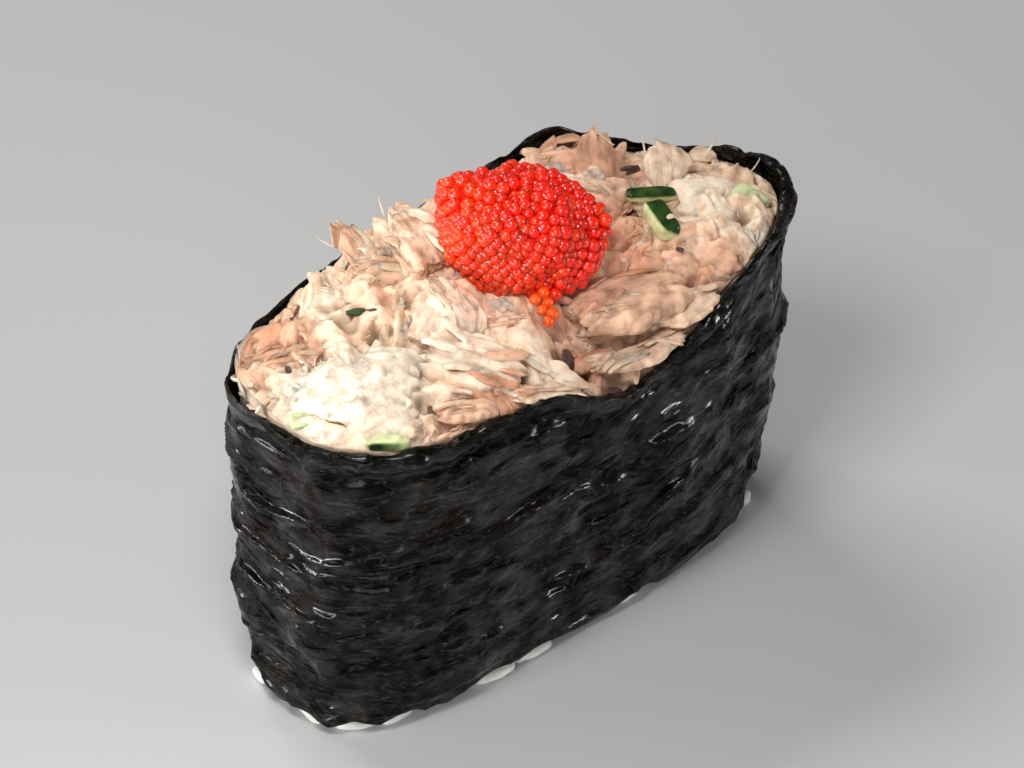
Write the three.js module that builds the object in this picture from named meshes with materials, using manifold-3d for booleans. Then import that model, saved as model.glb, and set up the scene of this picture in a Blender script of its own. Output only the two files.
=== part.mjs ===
// A gunkan sushi: a hand-pressed oval of rice in an upright strip of nori, filled above
// the rice with a loose salad of fish flakes and cucumber in mayonnaise, and topped with
// a spoonful of red roe.
//
// Lengths are in millimetres. The rice stands on z = 0, +Z is up, and the origin is the
// middle of the rice's flat underside. X runs along the oval. The nori leans outwards from
// the narrow foot to the wide rim, and its rim rises and falls.
import * as THREE from 'three';
import { ConvexHull } from 'three/addons/math/ConvexHull.js';
import { mergeVertices } from 'three/addons/utils/BufferGeometryUtils.js';
import Module from 'manifold-3d';

// Nori wrap: half length and half width of its outside at the foot and at the rim
const FOOT_HALF = [27.3, 10.4];
const RIM_HALF = [29.9, 14.6];
const FOOT_SQUARENESS = 3.4;
const RIM_SQUARENESS = 2.6;
const RIM_SHIFT = [0.4, -0.2];
const STRIP_WIDTH = 33;
const FLARE = 0.8;
const NORI_THICK = 0.5;
const FOOT_EDGE = 0.7;
const FOOT_LIFT = 1.2;
const LAP_START = 0.17;
const LAP_END = 0.31;
const LAP_STEP = 0.4;
// Heights of the rim at even steps round the oval, from the +X end towards +Y
const RIM_HEIGHTS = [
  34.3, 32.2, 36.0, 34.0, 33.8, 33.5, 33.5, 33.5, 34.2, 33.5, 33.5, 33.7, 29.2, 30.6, 34.3, 35.8,
];

// Rice, salad and roe
const GAP = 0.3;
const SPARE = 0.12;
const RICE_TOP = 21;
const GRAIN_HALF = [2.8, 1.25, 0.6];
const GRAIN_SPAN = 0.02;
// Shares of the way round, from the +X end towards +Y, where rice pushes out under the nori
const GRAIN_PLACES = [
  0.02, 0.08, 0.17, 0.27, 0.34, 0.4, 0.46, 0.52, 0.56, 0.6, 0.68, 0.715, 0.79, 0.93,
];
const SALAD_LEVEL = 34;
const SALAD_CROWN = 2.4;
const SALAD_BANK = { x: -5, y: 9, long: 14, wide: 6, high: 3.0 };
const ROE_CENTRE = [2.0, 0.1, 39.5];
const ROE_HALF = [7.1, 7.1, 5.7];
const ROE_BED = 35.4;
const EGGS = 260;
const EGG_RISE = 0.3;
const EGG_DENT = 0.3;
const EGG_RADIUS = 0.67;

const COLUMNS = 72;
const INNER_COLUMNS = 48;
const WALL_ROWS = 7;
const TURN = 2 * Math.PI;

const wasm = await Module();
wasm.setup();

// Shared maths

const mix = (a, b, w) => a + (b - a) * w;
const clamp = (v, low, high) => Math.min(high, Math.max(low, v));
const power = (v, p) => Math.sign(v) * Math.abs(v) ** p;
const share = (v) => v - Math.floor(v);
const rise = (v, low, high) => {
  const w = clamp((v - low) / (high - low), 0, 1);
  return w * w * (3 - 2 * w);
};

// A rounded bump of the way round, 1 at its middle
const bump = (around, middle, wide) =>
  Math.exp(-(((share(around - middle + 0.5) - 0.5) / wide) ** 2));

// Even, repeatable spread: the k-th number of stream n lies in 0..1
const spread = (k, n) => share(0.5 + (k + 1) * share(1 / 1.3247179572 ** (n + 1)) + 0.37 * n);

// The oval's half sizes and squareness at a height
function section(z) {
  const f = Math.max(z / STRIP_WIDTH, 0);
  const flare = f ** FLARE;
  return {
    a: mix(FOOT_HALF[0], RIM_HALF[0], flare),
    b: mix(FOOT_HALF[1], RIM_HALF[1], flare),
    n: mix(FOOT_SQUARENESS, RIM_SQUARENESS, Math.min(f, 1)),
    x: RIM_SHIFT[0] * f,
    y: RIM_SHIFT[1] * f,
  };
}

// Point at superellipse angle t and height z, moved outwards by out
function ovalPoint(t, z, out) {
  const { a, b, n, x, y } = section(z);
  const c = Math.cos(t);
  const s = Math.sin(t);
  const nx = power(c, 2 - 2 / n) / a;
  const ny = power(s, 2 - 2 / n) / b;
  const length = Math.hypot(nx, ny);
  return [
    x + a * power(c, 2 / n) + (out * nx) / length,
    y + b * power(s, 2 / n) + (out * ny) / length,
  ];
}

// Superellipse angle at each share of the way round, by arc length at mid height
const ANGLE_AT = (() => {
  const steps = 2400;
  const lengths = [0];
  let last = ovalPoint(0, STRIP_WIDTH / 2, 0);
  for (let i = 1; i <= steps; i += 1) {
    const next = ovalPoint((i / steps) * TURN, STRIP_WIDTH / 2, 0);
    lengths.push(lengths[i - 1] + Math.hypot(next[0] - last[0], next[1] - last[1]));
    last = next;
  }
  return (around) => {
    const want = share(around) * lengths[steps];
    let i = 1;
    while (lengths[i] < want) i += 1;
    return ((i - 1 + (want - lengths[i - 1]) / (lengths[i] - lengths[i - 1])) / steps) * TURN;
  };
})();

// Rim height, a smooth closed curve through RIM_HEIGHTS
function rimHeight(around) {
  const count = RIM_HEIGHTS.length;
  const place = share(around) * count;
  const i = Math.floor(place);
  const w = place - i;
  const [p0, p1, p2, p3] = [-1, 0, 1, 2].map((step) => RIM_HEIGHTS[(i + step + count) % count]);
  const slope = (p2 - p0) * w;
  const bend = (2 * p0 - 5 * p1 + 4 * p2 - p3) * w * w;
  const twist = (3 * p1 - p0 - 3 * p2 + p3) * w * w * w;
  return 0.5 * (2 * p1 + slope + bend + twist);
}

// Height of the nori's lower edge: almost on the ground, and lifted over each grain
const footHeight = (around) =>
  FOOT_EDGE +
  0.15 * Math.sin(TURN * 3 * around + 0.7) +
  FOOT_LIFT * Math.max(...GRAIN_PLACES.map((place) => bump(around, place, GRAIN_SPAN)));

// The strip's outer end lies over its inner end: one more thickness between the two,
// with a soft start and a sharp end
const lapThickness = (around) =>
  LAP_STEP * rise(around, LAP_START - 0.012, LAP_START + 0.004) * (around < LAP_END ? 1 : 0);

// Slow swells of the wall, where the strip follows what it holds
const swell = (around, up) =>
  Math.sin(Math.PI * up) *
  (0.35 * Math.sin(TURN * 5 * around + 3 * up) + 0.25 * Math.sin(TURN * 8 * around - 5 * up + 1));

// Salad surface: near the rim at the edge, crowned, with a bank on the +Y side, two stretches
// where it lies low against the far wall and a hole near the middle of the -Y side
const saladEdge = (around) =>
  rimHeight(around) -
  0.5 -
  0.8 * Math.cos(TURN * around) +
  0.5 * Math.sin(TURN * around) -
  2.4 * bump(around, 0.365, 0.03) -
  1.0 * bump(around, 0.14, 0.06);

function saladHeight(x, y, around, inward) {
  const bank = SALAD_BANK;
  const hill = Math.exp(-(((x - bank.x) / bank.long) ** 2) - ((y - bank.y) / bank.wide) ** 2);
  const lumps = 0.5 * Math.sin(0.9 * x + 1.1 * y) + 0.4 * Math.sin(1.3 * x - 0.8 * y + 2);
  const level = mix(saladEdge(around), SALAD_LEVEL, inward);
  const hole = 1.8 * Math.exp(-((x + 1.2) ** 2 + (y + 9.9) ** 2) / 3);
  const soft = Math.min(1, inward * 4);
  return level + SALAD_CROWN * inward ** 0.6 + (bank.high * hill + lumps - hole) * soft;
}

// Mesh helpers

// Grid of points closed both ways, or with both ends of each column drawn to a pole
function gridGeometry(columns, rows, pointAt, closedRows, poles) {
  const vertices = [];
  const faces = [];
  for (let r = 0; r < rows; r += 1) {
    for (let c = 0; c < columns; c += 1) vertices.push(...pointAt(c, r));
  }
  const at = (c, r) => (r % rows) * columns + (c % columns);
  for (let r = 0; r < (closedRows ? rows : rows - 1); r += 1) {
    for (let c = 0; c < columns; c += 1) {
      faces.push(at(c, r), at(c + 1, r), at(c + 1, r + 1));
      faces.push(at(c, r), at(c + 1, r + 1), at(c, r + 1));
    }
  }
  if (poles) {
    const first = vertices.length / 3;
    vertices.push(...poles[0], ...poles[1]);
    for (let c = 0; c < columns; c += 1) {
      faces.push(first, at(c + 1, 0), at(c, 0));
      faces.push(first + 1, at(c, rows - 1), at(c + 1, rows - 1));
    }
  }
  const geometry = new THREE.BufferGeometry();
  geometry.setAttribute('position', new THREE.Float32BufferAttribute(vertices, 3));
  geometry.setIndex(faces);
  return geometry;
}

function solidFrom(geometry) {
  const bare = new THREE.BufferGeometry();
  bare.setAttribute('position', geometry.getAttribute('position').clone());
  if (geometry.index) bare.setIndex(geometry.index.clone());
  const merged = mergeVertices(bare, 1e-4);
  const solid = new wasm.Manifold(
    new wasm.Mesh({
      numProp: 3,
      vertProperties: new Float32Array(merged.attributes.position.array),
      triVerts: new Uint32Array(merged.index.array),
    }),
  );
  if (solid.volume() < 0) throw new Error('a solid is inside out');
  return solid;
}

function geometryFrom(solid) {
  const mesh = solid.getMesh();
  const geometry = new THREE.BufferGeometry();
  geometry.setAttribute('position', new THREE.BufferAttribute(new Float32Array(mesh.vertProperties), 3));
  geometry.setIndex(new THREE.BufferAttribute(new Uint32Array(mesh.triVerts), 1));
  return geometry;
}

const union = (solids) => wasm.Manifold.union(solids);

// The largest body of a solid, without the loose scraps that a cut leaves
const largest = (solid) => solid.decompose().sort((p, q) => q.volume() - p.volume())[0];

// Nori wrap

// A closed band from its outside to its inside face, each given as a distance out from the
// oval, and past both edges by extra
function bandGeometry(outside, inside, extra, rows) {
  const profile = [];
  for (let r = 0; r <= rows; r += 1) profile.push([r / rows, true]);
  for (const up of [1, 0.5, 0]) profile.push([up, false]);
  return gridGeometry(
    COLUMNS,
    profile.length,
    (c, r) => {
      const around = c / COLUMNS;
      const [up, outer] = profile[r];
      const low = footHeight(around) - extra;
      const z = mix(low, rimHeight(around) + extra, up);
      const out = outer ? outside + lapThickness(around) + swell(around, up) : inside;
      const [x, y] = ovalPoint(ANGLE_AT(around), z, out);
      return [x, y, z];
    },
    true,
    null,
  );
}

const noriGeometry = bandGeometry(0, -NORI_THICK, 0, WALL_ROWS);
const noriClearance = solidFrom(bandGeometry(GAP, -NORI_THICK - GAP, GAP, 4));

// Rice block with the grains that show under the nori's lower edge

// What fills the wrap between two heights, its top following topAt
function fillGeometry(columns, low, high, rings, topAt) {
  const inset = NORI_THICK + GAP + SPARE;
  const profile = [[1, low], [1, mix(low, high, 0.5)]];
  for (let r = 0; r < rings; r += 1) profile.push([1 - r / rings, null]);
  return gridGeometry(
    columns,
    profile.length,
    (c, r) => {
      const around = c / columns;
      const [out, level] = profile[r];
      const edge = topAt(0, 0, around, 0);
      const [ex, ey] = ovalPoint(ANGLE_AT(around), level ?? edge, -inset);
      const x = ex * out;
      const y = ey * out;
      return [x, y, level ?? topAt(x, y, around, 1 - out)];
    },
    false,
    [[0, 0, low], [0, 0, topAt(0, 0, 0, 1)]],
  );
}

function grainSolid(place, index) {
  const t = ANGLE_AT(place);
  const thick = GRAIN_HALF[2];
  const [x, y] = ovalPoint(t, 0, mix(-1.0, -0.5, spread(index, 2)));
  const [ax, ay] = ovalPoint(t, 0, 0);
  const [bx, by] = ovalPoint(t + 0.02, 0, 0);
  const yaw = Math.atan2(by - ay, bx - ax) + mix(-0.35, 0.35, spread(index, 3));
  const length = mix(0.85, 1.1, spread(index, 4));
  const grain = new THREE.SphereGeometry(1, 6, 4);
  grain.applyMatrix4(
    new THREE.Matrix4().compose(
      new THREE.Vector3(x, y, thick),
      new THREE.Quaternion().setFromAxisAngle(new THREE.Vector3(0, 0, 1), yaw),
      new THREE.Vector3(GRAIN_HALF[0] * length, GRAIN_HALF[1], thick * 1.03),
    ),
  );
  return solidFrom(grain);
}

function riceSolid() {
  const core = solidFrom(fillGeometry(INNER_COLUMNS, 0, RICE_TOP, 1, () => RICE_TOP));
  const grains = GRAIN_PLACES.map(grainSolid);
  return largest(
    union([core, ...grains])
      .subtract(noriClearance)
      .trimByPlane([0, 0, 1], 0),
  );
}

// Roe mound: a lumpy ball of eggs on a flat bed, and a few eggs that ran down from it

const roeLump = (along, up) =>
  1 +
  0.06 * Math.cos(2 * (along + 0.75)) +
  0.04 * Math.sin(3 * along + 1) +
  0.05 * Math.sin(5 * along - 4 * up);

function roePoint(along, up, grow) {
  const lump = roeLump(along, up);
  return [
    ROE_CENTRE[0] + (ROE_HALF[0] * lump + grow) * Math.cos(up) * Math.cos(along),
    ROE_CENTRE[1] + (ROE_HALF[1] * lump + grow) * Math.cos(up) * Math.sin(along),
    ROE_CENTRE[2] + (ROE_HALF[2] * lump + grow) * Math.sin(up),
  ];
}

// Eggs packed side by side as one skin. Their middles follow an even spiral over the ball.
// Each is a dome out to the dents, and every dent lies between three neighbours.
function eggSkin() {
  const middles = [];
  for (let i = 0; i < EGGS; i += 1) {
    const z = 1 - (2 * (i + 0.5)) / EGGS;
    const along = Math.PI * (3 - Math.sqrt(5)) * i;
    const flat = Math.sqrt(1 - z * z);
    middles.push(new THREE.Vector3(Math.cos(along) * flat, Math.sin(along) * flat, z));
  }
  const number = new Map(middles.map((middle, i) => [middle, i]));
  const triangles = new ConvexHull().setFromPoints(middles).faces.map((face) =>
    [face.edge, face.edge.next, face.edge.next.next].map((edge) => number.get(edge.head().point)),
  );
  const vertices = [];
  const faces = [];
  const put = (direction, grow) => {
    const aim = direction.clone().normalize();
    vertices.push(...roePoint(Math.atan2(aim.y, aim.x), Math.asin(clamp(aim.z, -1, 1)), grow));
    return vertices.length / 3 - 1;
  };
  const dents = triangles.map((corners) => {
    const aim = new THREE.Vector3();
    corners.forEach((corner) => aim.add(middles[corner]));
    return aim.normalize();
  });
  const dentVertex = dents.map((aim) => put(aim, -EGG_DENT));
  const after = new Map();
  triangles.forEach(([a, b, c], t) => {
    for (const [p, q] of [[a, b], [b, c], [c, a]]) after.set(p * EGGS + q, t);
  });
  middles.forEach((middle, v) => {
    const top = put(middle, EGG_RISE);
    const start = triangles.findIndex((corners) => corners.includes(v));
    const fan = [];
    let t = start;
    do {
      fan.push(t);
      const corners = triangles[t];
      t = after.get(v * EGGS + corners[(corners.indexOf(v) + 2) % 3]);
    } while (t !== start);
    const ring = fan.map((one) => put(middle.clone().lerp(dents[one], 0.6), EGG_RISE * 0.45));
    fan.forEach((one, i) => {
      const j = (i + 1) % fan.length;
      faces.push(top, ring[i], ring[j]);
      faces.push(ring[i], dentVertex[one], dentVertex[fan[j]]);
      faces.push(ring[i], dentVertex[fan[j]], ring[j]);
    });
  });
  const geometry = new THREE.BufferGeometry();
  geometry.setAttribute('position', new THREE.Float32BufferAttribute(vertices, 3));
  geometry.setIndex(faces);
  return solidFrom(geometry);
}

// Middles of the eggs that ran down
const TAIL = [
  [-0.6, -5.6, 36.9],
  [-1.7, -5.7, 36.8],
  [-1.0, -6.6, 36.5],
  [-2.0, -6.9, 36.4],
  [-1.5, -7.7, 36.1],
  [-2.4, -8.1, 36.0],
];

function roeSolid() {
  const parts = [eggSkin()];
  TAIL.forEach((middle, i) => {
    const egg = new THREE.IcosahedronGeometry(EGG_RADIUS, 0);
    egg.rotateX(TURN * spread(i, 3));
    egg.translate(...middle);
    parts.push(solidFrom(egg));
  });
  return largest(union(parts).trimByPlane([0, 0, 1], ROE_BED + GAP));
}

function roeBall(grow, columns, rows) {
  const up = (r) => ((r + 1) / (rows + 1) - 0.5) * Math.PI;
  const poles = [-1, 1].map((side) => roePoint(0, (side * Math.PI) / 2, grow));
  return solidFrom(
    gridGeometry(columns, rows, (c, r) => roePoint((c / columns) * TURN, up(r), grow), false, poles),
  );
}

// The space kept free of salad round the roe
function roeClearance() {
  const tail = TAIL.map((middle) => {
    const ball = new THREE.IcosahedronGeometry(EGG_RADIUS + GAP + SPARE, 1);
    ball.translate(...middle);
    return solidFrom(ball);
  });
  return union([roeBall(EGG_RISE + GAP + SPARE, 20, 9), ...tail]).trimByPlane([0, 0, 1], ROE_BED);
}

// Salad: a heaped core with flakes of fish, lumps and cucumber pieces lying in its surface

// A flake: pointed at both ends, oval in section, bent along its length
function flakeSolid({ at, size, yaw, pitch, roll, bend, blunt }) {
  const [long, wide, thick] = size;
  const sides = 6;
  const rings = blunt ? 3 : 4;
  const along = (r) => ((r + 1) / (rings + 1)) * 2 - 1;
  const girth = (u) => (1 - Math.abs(u) ** (blunt ? 6 : 2.4)) ** 0.5;
  const geometry = gridGeometry(
    sides,
    rings,
    (c, r) => {
      const u = along(r);
      const turn = (c / sides) * TURN;
      const w = girth(u) * (1 + 0.16 * Math.sin(2.3 * c + 1.9 * r + 7 * long));
      return [
        (u * long) / 2,
        (w * wide * Math.cos(turn)) / 2,
        (w * thick * Math.sin(turn)) / 2 + bend * u * u,
      ];
    },
    false,
    [[-long / 2, 0, bend], [long / 2, 0, bend]],
  );
  geometry.applyMatrix4(
    new THREE.Matrix4().compose(
      new THREE.Vector3(...at),
      new THREE.Quaternion().setFromEuler(new THREE.Euler(roll, pitch, yaw, 'ZYX')),
      new THREE.Vector3(1, 1, 1),
    ),
  );
  return solidFrom(geometry);
}

// The pieces that stand out: where the middle of each lies, its size and how it is turned.
// A cucumber piece is blunt.
const STANDING = {
  strandOverTheRim: { at: [-9.4, 9.0, 37.6], size: [11.5, 3.4, 1.6], yaw: -1.64, pitch: 0.22 },
  uprightSliver: { at: [-15.8, 7.1, 36.2], size: [6.2, 2.8, 1.5], yaw: -2.4, pitch: 0.54 },
  flakeAtTheMinusXEnd: { at: [-22.6, 5.0, 35.2], size: [8, 4.2, 1.8], yaw: -0.46, pitch: -0.03 },
  creamyLump: { at: [-21.2, -4.0, 35.0], size: [11, 9.5, 4.6], yaw: -1.62, pitch: 0.04 },
  smallCreamyLump: { at: [-24.7, 0.9, 34.8], size: [6.2, 4.6, 3], yaw: -1.73, pitch: 0.05 },
  topOfTheBank: { at: [-5.1, 6.8, 38.3], size: [9, 6.4, 3.6], yaw: -1.73, pitch: 0.11 },
  sideOfTheBank: { at: [-9.0, 6.4, 37.4], size: [6, 4.6, 3], yaw: -0.4, pitch: 0.07 },
  middleFlake: { at: [-10.8, -7.4, 35.8], size: [11, 6, 3.2], yaw: -1.06, pitch: 0.14 },
  flakeByTheRoe: { at: [-8.0, -2.1, 37.0], size: [7.5, 5, 2.8], yaw: -1.81, pitch: 0.09 },
  flakeInsideTheRim: { at: [-14.6, -10.8, 34.4], size: [7, 4, 2], yaw: -0.5, pitch: 0.1 },
  flakeOnTheRim: { at: [-7.2, -13.4, 33.7], size: [10, 3.4, 1.3], yaw: -0.22, pitch: 0.32 },
  largeFlake: { at: [6.8, -9.2, 34.4], size: [13, 8.5, 3.8], yaw: -0.17, pitch: 0.02 },
  strandInTheDip: { at: [4.4, -12.8, 31.7], size: [11.5, 3.6, 1.7], yaw: -0.2, pitch: 0 },
  strandPastTheDip: { at: [11.0, -12.4, 33.4], size: [8, 3.2, 1.6], yaw: -0.15, pitch: -0.1 },
  creamByTheLargeFlake: { at: [18.2, -8.2, 34.2], size: [8.4, 6, 3.6], yaw: -1.59, pitch: 0.1 },
  creamAtThePlusXEnd: { at: [21.6, -3.6, 34.9], size: [6.6, 5, 3], yaw: -0.6, pitch: 0.1 },
  flakeBehindTheRoe: { at: [14.0, 2.6, 36.1], size: [6.6, 5, 2.8], yaw: -1.27, pitch: 0.07 },
  flakeAtTheFarRim: { at: [14.2, 8.6, 36.2], size: [5.6, 3.8, 1.8], yaw: -0.78, pitch: -0.31 },
  tallSpike: { at: [16.8, 5.5, 36.5], size: [6.6, 3.4, 1.6], yaw: -2.07, pitch: 0.58 },
  secondSpike: { at: [21.8, 1.7, 35.9], size: [5.4, 3.6, 1.6], yaw: -2.18, pitch: 0.5 },
  thirdSpike: { at: [25.6, -3.6, 34.8], size: [5, 2.8, 1.5], yaw: -2.6, pitch: 0.45 },
  cucumberStick: { at: [15.0, -4.6, 35.4], size: [5, 2.6, 1.8], yaw: -1.84, pitch: 0.17, blunt: true },
  cucumberStrip: { at: [17.1, -1.2, 35.8], size: [5, 1.9, 1.7], yaw: -0.56, pitch: 0.09, blunt: true },
  cucumberAtTheRim: { at: [24.8, -6.0, 34.2], size: [4.4, 2.6, 1.8], yaw: -1.36, pitch: 0.19, blunt: true },
  cucumberAtTheMinusXEnd: { at: [-26.2, -2.9, 34.4], size: [4.6, 2, 1.7], yaw: -0.44, pitch: 0, blunt: true },
  cucumberByTheLump: { at: [-22.8, -9.2, 34.3], size: [4.6, 2, 1.7], yaw: -0.7, pitch: 0, blunt: true },
};

const FLAKES = 26;

function scatteredFlake(index) {
  const around = spread(index, 0);
  const out = Math.sqrt(spread(index, 1)) * 0.9;
  const [ex, ey] = ovalPoint(ANGLE_AT(around), SALAD_LEVEL, -NORI_THICK - GAP);
  const long = mix(5, 9, spread(index, 2) ** 1.6);
  return {
    at: [ex * out, ey * out, saladHeight(ex * out, ey * out, around, 1 - out) + 0.15],
    size: [long, long * mix(0.35, 0.6, spread(index, 3)), mix(1.3, 2, spread(index, 4))],
    yaw: TURN * spread(index, 5),
    pitch: mix(-0.35, 0.35, spread(index, 6)),
  };
}

function saladSolid() {
  const low = RICE_TOP + GAP;
  const core = solidFrom(
    fillGeometry(INNER_COLUMNS, low, STRIP_WIDTH, 7, (x, y, around, inward) =>
      saladHeight(x, y, around, inward),
    ),
  );
  const flakes = [];
  for (let i = 0; i < FLAKES; i += 1) flakes.push(scatteredFlake(i));
  const pieces = [...Object.values(STANDING), ...flakes].map((piece, index) => {
    const roll = mix(-0.4, 0.4, spread(index, 7));
    const bend = mix(-0.5, 0.3, spread(index, 8));
    return flakeSolid({ roll, bend, ...piece });
  });
  return largest(union([core, ...pieces]).subtract(noriClearance).subtract(roeClearance()));
}

// The sushi

function finish(color, roughness) {
  return new THREE.MeshStandardMaterial({ color, roughness, metalness: 0 });
}

function node(name, geometry, material) {
  const mesh = new THREE.Mesh(geometry, material);
  mesh.name = name;
  return mesh;
}

const gunkan = new THREE.Group();
gunkan.add(node('nori_wrap', noriGeometry, finish(0x14120f, 0.4)));
gunkan.add(node('rice_block', geometryFrom(riceSolid()), finish(0xe9e7e1, 0.5)));
gunkan.add(node('fish_salad', geometryFrom(saladSolid()), finish(0xe3c6a6, 0.6)));
gunkan.add(node('roe_mound', geometryFrom(roeSolid()), finish(0xe22412, 0.25)));

export default gunkan;
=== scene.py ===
# %% [markdown]
# # A gunkan sushi
#
# A gunkan is a small oval of pressed rice with a strip of nori stood up round it. The strip is
# taller than the rice, so the two make a cup. This cup holds a loose salad of flaked fish and
# cucumber in mayonnaise, heaped over the rim, with a spoonful of red roe on top.
#
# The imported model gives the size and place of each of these: the wrap, the rice, the salad and
# the roe. This script makes the surfaces that the eye reads on them. It works in millimetres
# and turns them into Blender's metres at the moment a mesh is made.

import math

import bpy
import numpy as np
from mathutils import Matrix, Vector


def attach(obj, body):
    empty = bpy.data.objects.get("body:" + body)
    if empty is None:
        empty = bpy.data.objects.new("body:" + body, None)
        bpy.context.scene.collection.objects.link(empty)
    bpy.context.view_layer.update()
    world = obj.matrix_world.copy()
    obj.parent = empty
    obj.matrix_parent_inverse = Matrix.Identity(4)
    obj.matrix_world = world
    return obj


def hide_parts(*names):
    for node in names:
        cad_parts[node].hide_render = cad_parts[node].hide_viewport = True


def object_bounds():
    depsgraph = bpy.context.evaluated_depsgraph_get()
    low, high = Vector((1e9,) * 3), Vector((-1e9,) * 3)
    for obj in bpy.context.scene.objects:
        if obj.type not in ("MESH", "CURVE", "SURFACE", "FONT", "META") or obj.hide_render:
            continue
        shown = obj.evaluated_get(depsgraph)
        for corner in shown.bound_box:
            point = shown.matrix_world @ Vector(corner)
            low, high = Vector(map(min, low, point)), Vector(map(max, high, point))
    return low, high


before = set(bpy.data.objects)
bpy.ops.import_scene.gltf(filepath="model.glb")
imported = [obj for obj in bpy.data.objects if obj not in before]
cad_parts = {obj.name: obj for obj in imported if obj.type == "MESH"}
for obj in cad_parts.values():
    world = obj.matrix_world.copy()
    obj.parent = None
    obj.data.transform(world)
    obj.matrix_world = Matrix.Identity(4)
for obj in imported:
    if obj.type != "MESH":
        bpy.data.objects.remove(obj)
cad_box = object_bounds()
print("nodes:", sorted(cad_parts))

# %% [markdown]
# ## Camera
#
# The picture is taken from 38 degrees above the table, with the sushi's long side turned 43
# degrees away from the lens. A long lens at arm's length keeps its upright lines upright. The
# camera could be turned by hand until it looks right, but then every change of the model would
# mean turning it again. Here it is worked out from the two angles and the middle of the packed
# model's box.

# %% Camera
MM = 0.001
VIEW_AZIMUTH, VIEW_ELEVATION = math.radians(-43), math.radians(38)
VIEW_DISTANCE = 0.65
LENS = 250


def view_direction(azimuth, elevation):
    """The way from the object to the camera: the azimuth turned from -Y, then the elevation up."""
    flat = math.cos(elevation)
    return np.array([math.sin(azimuth) * flat, -math.cos(azimuth) * flat, math.sin(elevation)])


middle = (np.array(cad_box[0]) + np.array(cad_box[1])) / 2
backwards = view_direction(VIEW_AZIMUTH, VIEW_ELEVATION)
camera = bpy.data.objects.new("camera", bpy.data.cameras.new("camera"))
bpy.context.scene.collection.objects.link(camera)
camera.location = middle + backwards * VIEW_DISTANCE
camera.rotation_euler = (math.pi / 2 - VIEW_ELEVATION, 0, VIEW_AZIMUTH)
camera.data.lens = LENS
camera.data.clip_start = 0.01
bpy.context.scene.camera = camera
print("camera at", [round(v, 3) for v in camera.location])

# %% [markdown]
# ## Unevenness
#
# Nothing on food is even, so nearly every surface below adds some noise to its shape. Blender
# has noise textures, but a mesh worked out in numpy needs noise as numbers. Value noise is the
# simplest kind: a fixed random number sits at each corner of a lattice of cubes, and a point
# inside a cube blends its eight corners. The same point always gets the same number, so the
# piece comes out alike on each run.

# %% Noise in numpy


def hashed(i, j, k, seed):
    """A number from 0 to 1 that depends only on three whole numbers and a seed."""
    h = (i * 374761393 + j * 668265263 + k * 1274126177 + seed * 974634777) & 0xFFFFFFFF
    h = ((h ^ (h >> 13)) * 1103515245) & 0xFFFFFFFF
    return ((h ^ (h >> 16)) & 0xFFFF) / 65535.0


def noise(points, seed=0):
    """Smooth noise from -1 to 1: each point blends the numbers at its cube's eight corners."""
    corner = np.floor(points).astype(np.int64)
    part = points - corner
    part = part * part * (3 - 2 * part)
    total = np.zeros(points.shape[:-1])
    for which in range(8):
        step = np.array([which & 1, which >> 1 & 1, which >> 2 & 1])
        weight = np.prod(np.where(step, part, 1 - part), axis=-1)
        total += weight * hashed(*np.moveaxis(corner + step, -1, 0), seed)
    return 2 * total - 1


def ridges(points, seed=0):
    """Noise folded at zero: narrow crests at 1 with round hollows down to -1 between them."""
    return 1 - 2 * np.abs(noise(points, seed))


# %% Blends, even spreads and colours
AWKWARD_STEP, STREAM_SHIFT = 1.3247179572, 0.37


def mix(low, high, share):
    """The value that lies that share of the way from low to high."""
    return low + (high - low) * share


def blended(share, low, high):
    """One colour for each share from 0 to 1."""
    return mix(np.asarray(low), np.asarray(high), np.clip(share, 0, 1)[..., None])


def spread(k, stream):
    """Numbers from 0 to 1 that fill the range evenly in any order: multiples of an awkward step."""
    step = (1 / AWKWARD_STEP ** (stream + 1)) % 1
    return (0.5 + (np.asarray(k) + 1) * step + STREAM_SHIFT * stream) % 1


def linear(red, green, blue):
    """A colour as seen on a screen, 0 to 255, turned into the amounts of light that Blender adds."""
    value = np.array([red, green, blue]) / 255
    return np.where(value <= 0.04045, value / 12.92, ((value + 0.055) / 1.055) ** 2.4)


sample = noise(np.random.default_rng(1).uniform(-9, 9, (999, 3)))
print("noise runs from", sample.min().round(2), "to", sample.max().round(2))

# %% [markdown]
# ## The oval
#
# The wrap is an oval that leans outwards. Each level of it is a superellipse: an ellipse whose
# power is higher than two, which squares its ends a little. Its half length, half width and
# power grow from the foot to the rim. Every piece that touches the wrap asks these functions
# where the wall is, so that all of them fit. Places round the wrap are given as shares of the
# way round, from the +X end towards +Y.

# %% The wrap's sizes
FOOT_HALF, RIM_HALF = (27.3, 10.4), (29.9, 14.6)
FOOT_SQUARENESS, RIM_SQUARENESS = 3.4, 2.6
RIM_SHIFT = (0.4, -0.2)
STRIP_WIDTH = 33.0
FLARE = 0.8
NORI_THICK = 0.5
RIM_HEIGHTS = np.array([34.3, 32.2, 36.0, 34.0, 33.8, 33.5, 33.5, 33.5,
                        34.2, 33.5, 33.5, 33.7, 29.2, 30.6, 34.3, 35.8])
TURN = 2 * np.pi
BOX_LOW, BOX_HIGH = (np.array(corner) / MM for corner in cad_box)
print("packed box, mm:", BOX_LOW.round(2), BOX_HIGH.round(2))

# %% The outline at a height


def signed_power(value, power):
    """The power of a number's size, with the number's own sign."""
    return np.sign(value) * np.abs(value) ** power


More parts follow.
